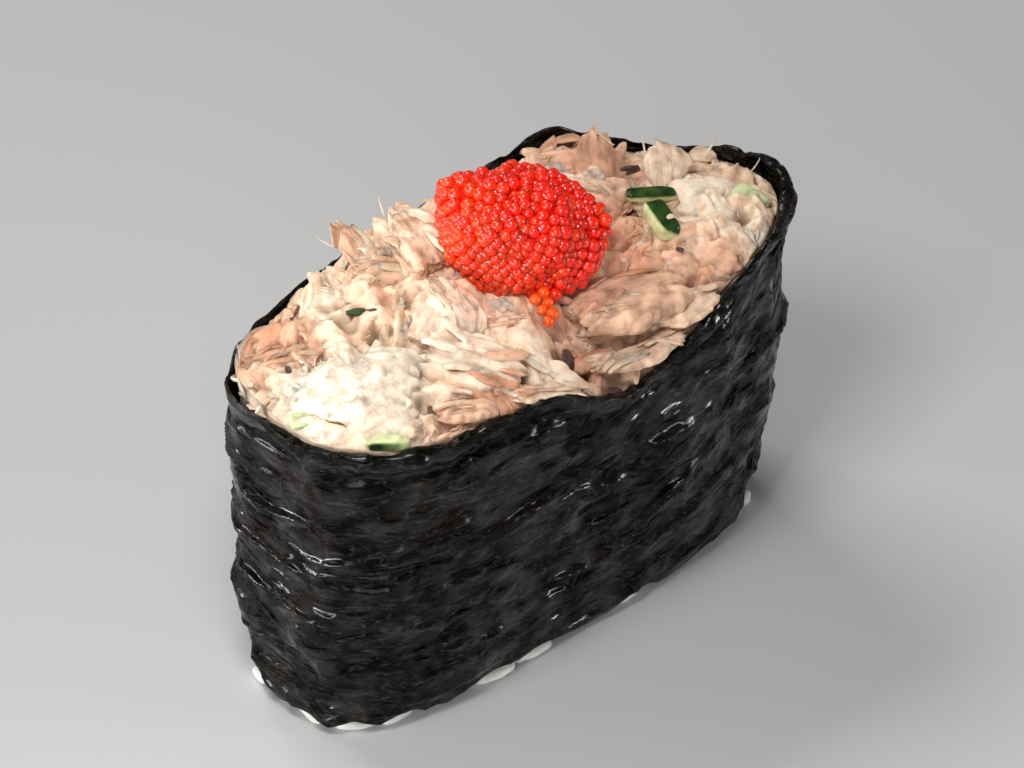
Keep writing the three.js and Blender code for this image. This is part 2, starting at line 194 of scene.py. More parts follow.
def oval(angle, z, out):
    """The outline at height z: half size times cosine and sine to the power 2/n, moved out along
    the outline's normal."""
    level = np.maximum(z / STRIP_WIDTH, 0)
    grown = level ** FLARE
    a, b = (mix(FOOT_HALF[i], RIM_HALF[i], grown) for i in (0, 1))
    n = mix(FOOT_SQUARENESS, RIM_SQUARENESS, np.minimum(level, 1))
    c, s = np.cos(angle), np.sin(angle)
    nx, ny = signed_power(c, 2 - 2 / n) / a, signed_power(s, 2 - 2 / n) / b
    long = np.hypot(nx, ny)
    x = RIM_SHIFT[0] * level + a * signed_power(c, 2 / n) + out * nx / long
    y = RIM_SHIFT[1] * level + b * signed_power(s, 2 / n) + out * ny / long
    return x, y


# %% The way round and the rim
FINE_STEPS = 2400
fine_turn = np.linspace(0, TURN, FINE_STEPS + 1)
fine_steps = np.hypot(*(np.diff(side) for side in oval(fine_turn, STRIP_WIDTH / 2, 0)))
way_round = np.concatenate([[0], np.cumsum(fine_steps)])


def angle_at(around):
    """The superellipse angle at a share of the way round, by its length along the wall."""
    return np.interp(np.mod(around, 1) * way_round[-1], way_round, fine_turn)


def rim_height(around):
    """A smooth closed curve through the rim's heights, each pair joined by a cubic."""
    place = np.mod(around, 1) * len(RIM_HEIGHTS)
    i = np.floor(place).astype(int)
    w = place - i
    p0, p1, p2, p3 = (RIM_HEIGHTS[(i + step) % len(RIM_HEIGHTS)] for step in (-1, 0, 1, 2))
    bend = (2 * p0 - 5 * p1 + 4 * p2 - p3) * w ** 2
    twist = (3 * p1 - p0 - 3 * p2 + p3) * w ** 3
    return 0.5 * (2 * p1 + (p2 - p0) * w + bend + twist)


def bump(around, place, wide):
    """A rounded bump of the way round, 1 at its middle."""
    return np.exp(-((np.mod(around - place + 0.5, 1) - 0.5) / wide) ** 2)


print("the strip is", round(way_round[-1], 1), "mm round at half height")

# %% [markdown]
# ## From arrays to meshes
#
# A shape here is a grid of points. Blender takes them fastest as flat lists, through
# foreach_set, with no loop in Python. One helper makes every piece: it hangs the piece on the
# imported model's body, gives it its material, hides the imported solid that it replaces, and
# stores an own colour and an own flat map with it where the finish needs them.

# %% Mesh helper


def make_piece(name, points, faces, material, replaced, colour=None, flat=None):
    """One smooth-shaded mesh from points in millimetres and lists of faces with equal corners."""
    points = np.asarray(points, dtype=np.float64).reshape(-1, 3) * MM
    corners = np.concatenate([part.ravel() for part in faces]).astype(np.int32)
    sizes = np.concatenate([np.full(len(part), part.shape[1], np.int32) for part in faces])
    mesh = bpy.data.meshes.new(name)
    mesh.vertices.add(len(points))
    mesh.vertices.foreach_set("co", points.ravel())
    mesh.loops.add(len(corners))
    mesh.loops.foreach_set("vertex_index", corners)
    mesh.polygons.add(len(sizes))
    starts = np.concatenate([[0], np.cumsum(sizes)[:-1]]).astype(np.int32)
    mesh.polygons.foreach_set("loop_start", starts)
    mesh.polygons.foreach_set("use_smooth", np.ones(len(sizes), bool))
    mesh.update(calc_edges=True)
    if colour is not None:
        layer = mesh.color_attributes.new("own_colour", "FLOAT_COLOR", "POINT")
        full = np.ones((len(points), 4), np.float32)
        full[:, :3] = np.asarray(colour).reshape(-1, 3)
        layer.data.foreach_set("color", full.ravel())
    if flat is not None:
        layer = mesh.uv_layers.new(name="own_map")
        layer.uv.foreach_set("vector", np.asarray(flat).reshape(-1, 2)[corners].astype(np.float32).ravel())
    mesh.materials.append(material)
    piece = bpy.data.objects.new(name, mesh)
    bpy.context.scene.collection.objects.link(piece)
    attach(piece, "root")
    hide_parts(replaced)
    print(name, len(points), "points,", int((sizes - 2).sum()), "triangles")
    return piece


# %% Faces of closed tubes


def tube_faces(rows, columns):
    """Faces of rings that close round, with one more point at each end to close the ends."""
    r, c = np.meshgrid(np.arange(rows - 1), np.arange(columns), indexing="ij")
    a, b = r * columns + c, r * columns + (c + 1) % columns
    quads = np.stack([a, b, b + columns, a + columns], -1).reshape(-1, 4)
    c = np.arange(columns)
    following, first, top = (c + 1) % columns, rows * columns, (rows - 1) * columns
    start = np.stack([np.full(columns, first), following, c], -1)
    end = np.stack([np.full(columns, first + 1), top + c, top + following], -1)
    return quads, np.concatenate([start, end])


def repeated(faces, count, stride):
    """The same faces for each of count copies, stride points apart."""
    shift = stride * np.arange(count)[:, None, None]
    return [(part[None] + shift).reshape(-1, part.shape[1]) for part in faces]


# %% [markdown]
# ## Materials
#
# Each finish is one Principled shader with noise in its colour, its gloss and its fine bumps.
# The noise reads the piece's own coordinates, so it stays on the piece when the piece moves.
# Numbers that are the same all over are set on the shader itself, because a file export keeps
# those and loses ones that arrive through a link.

# %% A new material and its noise


def new_material(name, **inputs):
    """A Principled material with these values on the shader's own sockets."""
    material = bpy.data.materials.new(name)
    material.use_nodes = True
    shader = material.node_tree.nodes["Principled BSDF"]
    for socket, value in inputs.items():
        shader.inputs[socket.replace("_", " ")].default_value = value
    return material, material.node_tree, shader


def blobs(tree, size, detail=3.0, stretch=(1, 1, 1), own_map=False):
    """A noise node whose blobs are size millimetres across, read from the piece's own place."""
    place = tree.nodes.new("ShaderNodeTexCoord")
    mapping = tree.nodes.new("ShaderNodeMapping")
    mapping.inputs["Scale"].default_value = stretch
    texture = tree.nodes.new("ShaderNodeTexNoise")
    texture.inputs["Scale"].default_value = 1 / size if own_map else 1 / (size * MM)
    texture.inputs["Detail"].default_value = detail
    tree.links.new(place.outputs["UV" if own_map else "Object"], mapping.inputs["Vector"])
    tree.links.new(mapping.outputs["Vector"], texture.inputs["Vector"])
    return texture.outputs["Fac"]


# %% Colours laid along a value


def ramp(tree, source, stops):
    """Colours laid along a value from 0 to 1."""
    node = tree.nodes.new("ShaderNodeValToRGB")
    elements = node.color_ramp.elements
    while len(elements) < len(stops):
        elements.new(0.5)
    for element, (place, colour) in zip(elements, stops):
        element.position = place
        element.color = (*colour, 1)
    tree.links.new(source, node.inputs["Fac"])
    return node.outputs["Color"]


def grey(value):
    """One number as a colour."""
    return (value, value, value)


# %% Two colours put together


def combined(tree, first, second, way):
    """Two colours put together by one of Blender's ways of mixing."""
    node = tree.nodes.new("ShaderNodeMix")
    node.data_type = "RGBA"
    node.blend_type = way
    node.inputs["Factor"].default_value = 1.0
    tree.links.new(first, node.inputs["A"])
    tree.links.new(second, node.inputs["B"])
    return node.outputs["Result"]


def multiplied(tree, first, second):
    """Two colours multiplied."""
    return combined(tree, first, second, "MULTIPLY")


def added(tree, first, second):
    """Two colours added."""
    return combined(tree, first, second, "ADD")


# %% Relief, and the colour stored with the points


def bumped(tree, height, depth, under=None):
    """A fine relief of that depth in millimetres, on top of another where one is given."""
    node = tree.nodes.new("ShaderNodeBump")
    node.inputs["Distance"].default_value = depth * MM
    tree.links.new(height, node.inputs["Height"])
    if under is not None:
        tree.links.new(under, node.inputs["Normal"])
    return node.outputs["Normal"]


def own_colour(tree):
    """The colour stored with the piece's points."""
    node = tree.nodes.new("ShaderNodeVertexColor")
    node.layer_name = "own_colour"
    return node.outputs["Color"]


# %% [markdown]
# ## Nori
#
# The strip is a sheet of pressed seaweed. Moist rice has softened it, so it clings, puckers
# into long level creases and shines where they catch the light. The creases could be a bump in
# the material, but they also break up the wall's outline and hold the highlights, so most of
# them are real relief here: noise with sharp crests, squeezed in height, which draws it out
# along the strip. The grain of the sheet and a second, softer set of puckers are left to the
# material.
#
# The sheet is nearly black, with brown and violet patches, and paler lines on its crests that are painted
# highlight: glints painted into its colour.
# It isn't equally moist all over. A wet film could be a lower roughness, but a film lies on top
# of the sheet and shines by itself, so it is the shader's coat, and noise says where it lies.
# The sheet under it mirrors little, which a low index of refraction gives.

# %% Nori colours
NORI_BLACK, NORI_DEEP = (0.0016, 0.0021, 0.0013), (0.0026, 0.0024, 0.0017)
NORI_BROWN, NORI_VIOLET = (0.0105, 0.0068, 0.0048), (0.0062, 0.0042, 0.0062)
PAINTED_CREST_HIGHLIGHT = (0.0075, 0.0066, 0.0064)
nori_material, tree, shader = new_material("nori", IOR=1.16, Coat_Roughness=0.14, Coat_IOR=1.45)
nori_colour = ramp(tree, blobs(tree, 7.0, 4.0), [(0.3, NORI_BLACK), (0.5, NORI_DEEP),
                                                 (0.6, NORI_BROWN), (0.72, NORI_VIOLET)])
speck_shade = ramp(tree, blobs(tree, 0.5, 2.0), [(0.35, grey(0.5)), (0.6, grey(1.0)), (0.75, grey(2.6))])
ridge_stops = [(0.36, grey(0)), (0.5, grey(1)), (0.64, grey(0))]
small_ridges = ramp(tree, blobs(tree, 3.4, 2.0, stretch=(1, 1, 3.0)), ridge_stops)
large_ridges = ramp(tree, blobs(tree, 8.0, 2.0, stretch=(1, 1, 2.6)), ridge_stops)
# Painted highlight: paler lines on the crests of the small ridges, stronger in patches, stand in for
# glints.
painted_highlight_patches = ramp(tree, blobs(tree, 5.0, 3.0), [(0.45, grey(1.0)), (0.62, grey(5.0))])
painted_crest_highlight = ramp(tree, small_ridges, [(0.8, grey(0.0)), (1.0, PAINTED_CREST_HIGHLIGHT)])
colour = added(tree, multiplied(tree, nori_colour, speck_shade), multiplied(tree, painted_crest_highlight, painted_highlight_patches))
tree.links.new(colour, shader.inputs["Base Color"])

# %% Nori gloss, wet film and relief
GRAIN_DEEP, SMALL_DEEP, LARGE_DEEP = 0.12, 0.4, 0.9
gloss = ramp(tree, blobs(tree, 2.4, 5.0, stretch=(1, 1, 2.5)), [(0.35, grey(0.12)), (0.6, grey(0.34))])
tree.links.new(gloss, shader.inputs["Roughness"])
wet = ramp(tree, blobs(tree, 4.0, 3.0, stretch=(1, 1, 1.6)), [(0.42, grey(0.05)), (0.62, grey(0.75))])
tree.links.new(wet, shader.inputs["Coat Weight"])
grain = bumped(tree, blobs(tree, 0.5, 4.0, stretch=(1, 1, 2.0)), GRAIN_DEEP)
pucker = bumped(tree, large_ridges, LARGE_DEEP, bumped(tree, small_ridges, SMALL_DEEP, grain))
tree.links.new(pucker, shader.inputs["Normal"])
print("nori nodes:", len(tree.nodes))

# %% [markdown]
# The wrap is one closed band. Its columns run round the oval, and its rows go up the outside,
# over the rim in a small round lip, down the inside and under the foot. The wall's slow swells,
# the lap where the strip's end lies over its start and the lifts of the foot over the grains
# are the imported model's own. A flat strip with a Solidify modifier would have the same
# thickness all over; worked out here, the lip can be rolled and thicker where the front of the
# rim is moist.

# %% The wall's form
FOOT_EDGE, FOOT_LIFT, GRAIN_SPAN = 0.7, 1.2, 0.02
GRAIN_PLACES = (0.02, 0.08, 0.17, 0.27, 0.34, 0.4, 0.46, 0.52, 0.56, 0.6, 0.68, 0.715, 0.79, 0.93)
LAP_START, LAP_END, LAP_STEP = 0.17, 0.31, 0.4
LAP_SOFT_START = 0.016


def foot_height(around):
    """The strip's lower edge: almost on the table, and lifted over each grain."""
    lift = np.max([bump(around, place, GRAIN_SPAN) for place in GRAIN_PLACES], axis=0)
    return FOOT_EDGE + 0.15 * np.sin(TURN * 3 * around + 0.7) + FOOT_LIFT * lift


def wall_form(around, up):
    """Slow swells of the wall and the lap's extra thickness, with its soft start and sharp end."""
    waves = 0.35 * np.sin(TURN * 5 * around + 3 * up) + 0.25 * np.sin(TURN * 8 * around - 5 * up + 1)
    lap = np.clip((around - LAP_START + 0.012) / LAP_SOFT_START, 0, 1) * (around < LAP_END)
    return np.sin(np.pi * np.clip(up, 0, 1)) * waves + LAP_STEP * lap


# %% Creases
# Each row: how high a set of creases stands, how long one is, how many times it is squeezed in
# height, and its seed
FOLDS = ((0.75, 9.0, 3.0, 12), (0.42, 4.2, 2.8, 13), (0.12, 2.0, 2.5, 14))
DENT_HIGH, DENT_SIZE, DENT_SQUEEZE = 0.42, 8, 1.8
# The creases' mean height, taken off so that the wall stays where the oval is
CREASE_MEAN = 0.62
CREST_POWER = 2.5


def crest(points, seed):
    """Crests that are 1 along the lines where the noise passes zero and low elsewhere."""
    return (1 - np.abs(noise(points, seed))) ** CREST_POWER


def creases(x, y, z):
    """Relief of the softened sheet: broad dents, long folds and fine puckers, all drawn out level."""
    base = np.stack([x, y, z], -1)
    level = z + 1.6 * noise(base / 12, 3) + 0.6 * noise(base / 4, 4)
    relief = DENT_HIGH * noise(np.stack([x, y, level * DENT_SQUEEZE], -1) / DENT_SIZE, 11)
    for high, size, squeeze, seed in FOLDS:
        relief = relief + high * crest(np.stack([x, y, level * squeeze], -1) / size, seed)
    return relief - CREASE_MEAN


# %% The wrap's rows and its waved edges
WALL_ROWS, LIP_ROWS, INNER_ROWS = 148, 4, 18
# Each row: how far a set of waves moves an edge of the strip, one wave's length, and its seed
RIM_WAVES, FOOT_WAVES = ((0.3, 2.6, 21), (0.2, 0.8, 22)), ((0.12, 1.5, 23),)


def wrap_profile():
    """Each row's height share, its depth into the sheet and its lift past the edge."""
    half_turn = np.linspace(0, np.pi, LIP_ROWS + 2)[1:-1]
    over, lift = (1 - np.cos(half_turn)) / 2, np.sin(half_turn)
    up = np.concatenate([np.linspace(0, 1, WALL_ROWS), np.ones(LIP_ROWS),
                         1 - np.linspace(0, 1, INNER_ROWS) ** 1.7, np.zeros(LIP_ROWS)])
    depth = np.concatenate([np.zeros(WALL_ROWS), over, np.ones(INNER_ROWS), over[::-1]])
    past = np.concatenate([np.zeros(WALL_ROWS), lift, np.zeros(INNER_ROWS), -lift])
    return up[:, None], depth[:, None], past[:, None]


def waved(height, edge, waves):
    """An edge's height with small waves along it."""
    for high, long, seed in waves:
        height = height + high * noise(edge / long, seed)
    return height


# %% Points of the wrap
WRAP_COLUMNS = 540
WAIST_DEEP, WAIST_BELOW_RIM, ROLL_OUT = 0.5, 2.3, 0.6
BACK_INSET, BACK_FROM, BACK_HEIGHT = 0.25, 8, 20


def wrap_points():
    """Grid of the wrap: oval at each height, moved out by form and creases and in by depth. Just
    under the rim the wall is drawn in to a waist, and above it the front of the rim rolls out."""
    around = (np.arange(WRAP_COLUMNS) / WRAP_COLUMNS)[None]
    up, depth, past = wrap_profile()
    edge = np.stack([*oval(angle_at(around), STRIP_WIDTH, 0), 0 * around], -1)
    rim = waved(rim_height(around), edge, RIM_WAVES)
    foot = waved(foot_height(around), edge, FOOT_WAVES)
    z = mix(foot, rim, up)
    x, y = oval(angle_at(around), z, 0)
    relief = creases(x, y, z) * mix(1, 0.6, depth)
    waist = WAIST_DEEP * np.exp(-((rim - z - WAIST_BELOW_RIM) / 0.8) ** 2) * (1 + noise(edge / 4, 24))
    calm = mix(1, 0.4, np.clip((up - 0.8) / 0.2, 0, 1))
    front = np.clip(0.5 - edge[..., 1] / 8, 0, 1)
    rolled = np.clip(0.55 + 0.7 * noise(edge / 2.4, 25), 0, 1.2) * front
    roll = ROLL_OUT * rolled * np.exp(-((rim - z - 0.8) / 0.8) ** 2)
    lip = NORI_THICK * (mix(0.65, 1, front) + 1.3 * rolled * np.exp(-((rim - z) / 0.9) ** 2))
    out = wall_form(around, up) * mix(1, 0.8, depth) + relief * calm - waist + roll - lip * depth
    out = out - BACK_INSET * np.clip((z - BACK_HEIGHT) / 8, 0, 1) * (edge[..., 1] > BACK_FROM)
    z = z + past * NORI_THICK / 2
    x, y = oval(angle_at(around), z, out)
    return np.clip(np.stack([x, y, z], -1), BOX_LOW, BOX_HIGH)


# %% The wrap as one band


def band_faces(rows, columns):
    """Faces of a grid that closes both ways."""
    r, c = np.meshgrid(np.arange(rows), np.arange(columns), indexing="ij")
    below, above, following = r * columns, (r + 1) % rows * columns, (c + 1) % columns
    return np.stack([below + c, below + following, above + following, above + c], -1).reshape(-1, 4)


wrap = wrap_points()
make_piece("nori_sheet", wrap, [band_faces(*wrap.shape[:2])], nori_material, "nori_wrap")

# %% [markdown]
# ## Rice
#
# Little of the rice shows: grains push out under the nori's lifted edge, and the underside is a
# floor of pressed grains. Each grain is a stretched ball, a little squared and dented. All are
# made as one mesh from one grid, stretched, turned and moved for each grain at once, which
# takes a blink where some two hundred separate objects would not. A plain block inside backs
# them.
#
# Cooked rice is white because light enters it and comes out again a little way off. Plain white
# paint looks like plaster, so its material lets light in for about a millimetre.

# %% Many lumps at once


def round_grid(rows, columns):
    """Points of a unit ball: rings along X with their two poles at the end."""
    v = np.arange(1, rows + 1) * np.pi / (rows + 1)
    t = np.arange(columns) * TURN / columns
    x = np.repeat(-np.cos(v), columns)
    ring = np.repeat(np.sin(v), columns)
    ball = np.stack([x, ring * np.tile(np.cos(t), rows), ring * np.tile(np.sin(t), rows)], -1)
    return np.concatenate([ball, [[-1, 0, 0], [1, 0, 0]]])


def turned(yaw, pitch, roll):
    """Turning matrices: roll about X, then pitch about Y, then yaw about Z."""
    yaw, pitch, roll = np.broadcast_arrays(yaw, pitch, roll)
    cy, sy, cp, sp, cr, sr = (f(v) for v in (yaw, pitch, roll) for f in (np.cos, np.sin))
    rows = [[cy * cp, cy * sp * sr - sy * cr, cy * sp * cr + sy * sr],
            [sy * cp, sy * sp * sr + cy * cr, sy * sp * cr - cy * sr],
            [-sp, cp * sr, cp * cr]]
    return np.moveaxis(np.array(rows), (0, 1), (-2, -1))


def lumps(centres, halves, matrices, rows, columns, square=1.0, uneven=0.0, size=1.0, seed=0):
    """Balls stretched by their halves, squared by a power, dented by noise, turned and placed."""
    ball = round_grid(rows, columns)
    form = signed_power(ball, square)
    local = form[None] * np.asarray(halves)[:, None, :]
    if uneven:
        own = local / size + 13.7 * np.arange(len(local))[:, None, None]
        local = local * (1 + uneven * (noise(own, seed) + 0.5 * noise(own * 2.1, seed + 1)))[..., None]
    return np.einsum("nij,nmj->nmi", matrices, local) + np.asarray(centres)[:, None, :]


# %% Rice material
rice_material, tree, shader = new_material("rice", Roughness=0.38, IOR=1.4, Subsurface_Weight=0.5,
                                           Subsurface_Scale=0.0012, Coat_Weight=0.3, Coat_Roughness=0.2)
shader.inputs["Subsurface Radius"].default_value = (1.0, 0.8, 0.65)
RICE_DULL, RICE_WHITE = linear(205, 203, 199), linear(232, 230, 226)
milky = ramp(tree, blobs(tree, 1.6), [(0.3, RICE_DULL), (0.7, RICE_WHITE)])
tree.links.new(milky, shader.inputs["Base Color"])
tree.links.new(bumped(tree, blobs(tree, 0.6), 0.05), shader.inputs["Normal"])

# %% Where the grains lie
GRAIN_HALF = np.array([2.6, 1.1, 0.56])
UNDER_GRAINS = 190


def foot_grains():
    """The grains that push out under the nori, lying along its foot."""
    places = np.array(GRAIN_PLACES)
    k = np.arange(len(places))
    angle = angle_at(places)
    x, y = oval(angle, 0 * angle, mix(-1.4, -0.9, hashed(k, 2, 0, 33)))
    ahead = np.array(oval(angle + 0.02, 0 * angle, 0)) - np.array(oval(angle, 0 * angle, 0))
    yaw = np.arctan2(ahead[1], ahead[0]) + mix(-0.35, 0.35, spread(k, 3))
    halves = GRAIN_HALF * np.stack([mix(0.5, 0.95, hashed(k, 0, 0, 33)), 0 * k + 1, 0 * k + 1.05], -1)
    return np.stack([x, y, 0 * x + GRAIN_HALF[2]], -1), halves, yaw


def floor_grains():
    """Grains pressed flat all over the underside, evenly spread and turned every way."""
    k = np.arange(UNDER_GRAINS)
    angle, out = angle_at(spread(k, 0)), np.sqrt(spread(k, 1))
    x, y = oval(angle, 0 * angle, -2.2)
    halves = GRAIN_HALF * np.stack([mix(0.8, 1.05, spread(k, 2)), mix(0.85, 1.1, spread(k, 3)),
                                    mix(0.8, 1.0, spread(k, 4))], -1)
    z = halves[:, 2] + 0.25 * spread(k, 5)
    return np.stack([x * out, y * out, z], -1), halves, TURN * spread(k, 6)


# %% Rice grains
GRAIN_GRID = (9, 12)
centres, halves, yaws = (np.concatenate(both) for both in zip(foot_grains(), floor_grains()))
grain_points = lumps(centres, halves, turned(yaws, 0, 0), *GRAIN_GRID, square=0.85, uneven=0.2, size=1.3,
                     seed=31)
grain_points[..., 2] = np.maximum(grain_points[..., 2], 0.0)
grain_faces = repeated(tube_faces(*GRAIN_GRID), len(centres), grain_points.shape[1])
make_piece("rice_grains", grain_points, grain_faces, rice_material, "rice_block")

# %% The block behind the grains
RICE_TOP, CORE_FOOT, CORE_INSET = 21.0, 0.75, 1.3
BLOCK_GRID = (6, 160)


def block_points(low, high, inset, rows, columns):
    """The plain block: the oval at each height, then a pole at the bottom and the top."""
    around = np.arange(columns)[None] / columns
    z = np.linspace(low, high, rows)[:, None] + 0 * around
    x, y = oval(angle_at(around), z, -inset)
    wall = np.stack([x, y, z], -1).reshape(-1, 3)
    return np.concatenate([wall, [[0, 0, low], [0, 0, high]]])


make_piece("rice_core", block_points(CORE_FOOT, RICE_TOP, CORE_INSET, *BLOCK_GRID), tube_faces(*BLOCK_GRID),
           rice_material, "rice_block")

# %% [markdown]
# ## The salad's heap
#
# The heap's surface is a height over each place in the oval. It starts near the rim, rises to a
# crown and a bank behind, and falls away against the far wall in two places. The many small
# pieces are all laid on this one surface later. The surface itself is the fine shredded mass
# between the pieces: lumps and short ridges, cream on top, with brown painted shade in the hollows.

# %% Places in the heap
SALAD_LEVEL, SALAD_CROWN = 34.0, 2.4
WALL_GAP = 0.3
RING_STEPS = 2048
ring_around = np.arange(RING_STEPS) / RING_STEPS
ring_x, ring_y = oval(angle_at(ring_around), SALAD_LEVEL, -NORI_THICK - WALL_GAP)
ring_turn = np.unwrap(np.arctan2(ring_y, ring_x))


def heap_place(x, y):
    """For a place in plan: the share of the way round, and how far out it lies from 0 to 1."""
    turn = ring_turn[0] + np.mod(np.arctan2(y, x) - ring_turn[0], TURN)
    around = np.interp(turn, np.append(ring_turn, ring_turn[0] + TURN), np.append(ring_around, 1.0))
    ring_far = np.hypot(ring_x, ring_y)
    edge = np.interp(around, np.append(ring_around, 1.0), np.append(ring_far, ring_far[0]))
    return around, np.hypot(x, y) / edge


# %% Heap height
BANK_PLACE, BANK_SIZE, BANK_HIGH = (-5.0, 9.0), (14.0, 6.0), 3.0
HOLE_PLACE, HOLE_DEEP = (-1.2, -9.9), 1.8
# Each row: a stretch behind where the salad lies lower, its middle and width in shares of the
# way round, and how much lower
LOW_STRETCHES = ((0.365, 0.03, 2.4), (0.14, 0.06, 1.0))


def heap_edge(around):
    """Where the salad meets the wall: just under the rim, and lower in two stretches behind."""
    slope = -0.5 - 0.8 * np.cos(TURN * around) + 0.5 * np.sin(TURN * around)
    edge = rim_height(around) + slope
    for place, wide, lower in LOW_STRETCHES:
        edge = edge - lower * bump(around, place, wide)
    return edge


def heap_height(x, y):
    """Edge height blended inwards to a level, plus crown, bank and lumps, less one hole."""
    around, out = heap_place(x, y)
    inward = np.clip(1 - out, 0, 1)
    bank = np.exp(-((x - BANK_PLACE[0]) / BANK_SIZE[0]) ** 2 - ((y - BANK_PLACE[1]) / BANK_SIZE[1]) ** 2)
    lump = 0.5 * np.sin(0.9 * x + 1.1 * y) + 0.4 * np.sin(1.3 * x - 0.8 * y + 2)
    hole = HOLE_DEEP * np.exp(-((x - HOLE_PLACE[0]) ** 2 + (y - HOLE_PLACE[1]) ** 2) / 3)
    soft = np.minimum(1, inward * 4)
    crown = SALAD_CROWN * inward ** 0.6
    return mix(heap_edge(around), SALAD_LEVEL, inward) + crown + (BANK_HIGH * bank + lump - hole) * soft


# %% [markdown]
# The salad's colour changes slowly from place to place: white cream where mayonnaise has
# gathered, tan and pink where bare fish shows. If each piece drew a colour of its own, the heap
# would look like a bowl of cereal. So one map in plan gives a share from bare fish to cream, and
# each piece takes the map's value where it lies, with only a little of its own.

# %% Salad colours
# Each row: the share from bare fish to cream, then the colour as seen on a screen
FISH_TO_CREAM = ((0.0, (194, 134, 104)), (0.25, (218, 166, 136)), (0.5, (232, 194, 165)),
                 (0.75, (241, 215, 189)), (1.0, (240, 225, 204)))
# Each row: a place in plan, how far its colour reaches, and what it adds to the share
COLOUR_PLACES = ((-21.0, -4.0, 6.0, 0.5), (-14.0, -5.0, 5.0, 0.15), (-7.0, -3.0, 6.0, 0.2),
                 (20.0, -5.0, 5.0, 0.2), (7.2, -8.4, 4.6, -0.42), (5.5, -13.4, 4.0, 0.14),
                 (-13.0, -11.5, 4.5, -0.25), (-22.6, 5.5, 4.0, -0.1), (-9.4, 9.0, 4.0, -0.15))


def salad_colour(x, y, own=0.5):
    """The fish-to-cream colour at a place: slow noise plus the named places, plus its own share."""
    share = 0.5 + 0.35 * noise(np.stack([x, y, 0 * x], -1) / 5.5, 45)
    for place_x, place_y, reach, more in COLOUR_PLACES:
        share = share + more * np.exp(-((x - place_x) ** 2 + (y - place_y) ** 2) / reach ** 2)
    share = share + 0.3 * (own - 0.5)
    stops, colours = zip(*((stop, linear(*colour)) for stop, colour in FISH_TO_CREAM))
    return np.stack([np.interp(share, stops, side) for side in zip(*colours)], -1)


# %% Salad finishes
MOTTLE_BROWN = (0.72, 0.66, 0.6)


def salad_finish(name, roughness, fibre, grain=0.12):
    """Moist flesh in its own colour: light passes a little way in, and fibres run along the map."""
    material, tree, shader = new_material(name, Roughness=roughness, IOR=1.38,
                                          Subsurface_Weight=0.5, Subsurface_Scale=0.0013)
    shader.inputs["Subsurface Radius"].default_value = (1.0, 0.55, 0.35)
    mottle = ramp(tree, blobs(tree, 1.0, 6.0), [(0.32, MOTTLE_BROWN), (0.5, grey(0.98)), (0.68, grey(1.1))])
    tree.links.new(multiplied(tree, own_colour(tree), mottle), shader.inputs["Base Color"])
    normal = bumped(tree, blobs(tree, 0.55, 5.0), grain)
    if fibre:
        normal = bumped(tree, blobs(tree, 0.4, 3.0, own_map=True), fibre, normal)
    tree.links.new(normal, shader.inputs["Normal"])
    return material


mash_material = salad_finish("salad_mash", 0.42, 0)
flake_material = salad_finish("fish_flake", 0.42, 0.16)
cream_material = salad_finish("mayonnaise", 0.3, 0, 0.2)
print("bare fish to cream at the big lump:", salad_colour(np.array([-21.0]), np.array([-4.0])).round(2))

# %% [markdown]
# Up close the heap is flakes lying on flakes. Several hundred separate solids would cost much
# and still leave holes, so the surface itself is made of them: each flake is a low tilted dome
# in plan with fibres along it, and at every point the highest one wins. That gives crisp
# overlapping edges and fibres that run every way on a surface that stays whole.

# %% Which way the fibres run


def grain_yaw(x, y):
    """The way the fibres run at a place: it changes slowly, as one torn fillet's pieces do."""
    return 2.0 + 2.6 * noise(np.stack([x, y, 0 * x], -1) / 11, 46)


# %% Flakes in the heap's surface
HEAP_FLAKES = 900
FLAKE_LONG, FLAKE_WIDE, FLAKE_LIFT = (2.4, 7.0), (0.9, 2.8), (-0.6, 0.5)
FLAKE_TILT, FLAKE_DOME, FIBRE_HIGH = 0.28, 0.5, 0.12
# Where no flake lies: the height, the random number and the fibres' height there
BARE = (-1.1, 0.2, -1.0)


def flaked(x, y):
    """The highest of many tilted domes at each place: its height over the heap's level in
    millimetres, its own random number, and how high its fibres stand there."""
    k = np.arange(HEAP_FLAKES)
    angle, out = angle_at(spread(k, 3)), np.sqrt(spread(k, 4)) * 1.02
    mid_x, mid_y = (side * out for side in oval(angle, SALAD_LEVEL, -NORI_THICK - WALL_GAP))
    long, wide = mix(*FLAKE_LONG, spread(k, 5) ** 1.6), mix(*FLAKE_WIDE, spread(k, 6))
    yaw = grain_yaw(mid_x, mid_y) + mix(-0.5, 0.5, hashed(k, 7, 0, 0))
    rise, lean = (mix(-FLAKE_TILT, FLAKE_TILT, hashed(k, stream, 0, 0)) for stream in (8, 9))
    lift = mix(*FLAKE_LIFT, hashed(k, 10, 0, 0))
    height, owner, fibres = (np.full(x.shape, value) for value in BARE)
    for i in k:
        near = np.flatnonzero(np.hypot(x - mid_x[i], y - mid_y[i]) < long[i] * 0.62)
        dx, dy = x[near] - mid_x[i], y[near] - mid_y[i]
        along = dx * np.cos(yaw[i]) + dy * np.sin(yaw[i])
        across = dy * np.cos(yaw[i]) - dx * np.sin(yaw[i])
        ragged = noise(np.stack([along / 0.9, across / 0.5, 0 * along + i], -1), 47)
        bowed = across + 0.35 * noise(np.stack([along / 3, 0 * along, 0 * along + i], -1), 48)
        body = 1 - np.abs(2 * along / long[i]) ** 3 - np.abs(2 * bowed / wide[i]) ** 2.2 + 0.35 * ragged
        lines = ridges(np.stack([along / 4.5, bowed / 0.42, 0 * along + 3.3 * i], -1), 49)
        own = (lift[i] + rise[i] * along + lean[i] * across + FLAKE_DOME * np.clip(body, 0, 1) ** 0.65
               + FIBRE_HIGH * lines)
        wins = (body > 0) & (own > height[near])
        won = near[wins]
        height[won], owner[won], fibres[won] = own[wins], hashed(i, 0, 0, 50), lines[wins]
    return height, owner, fibres


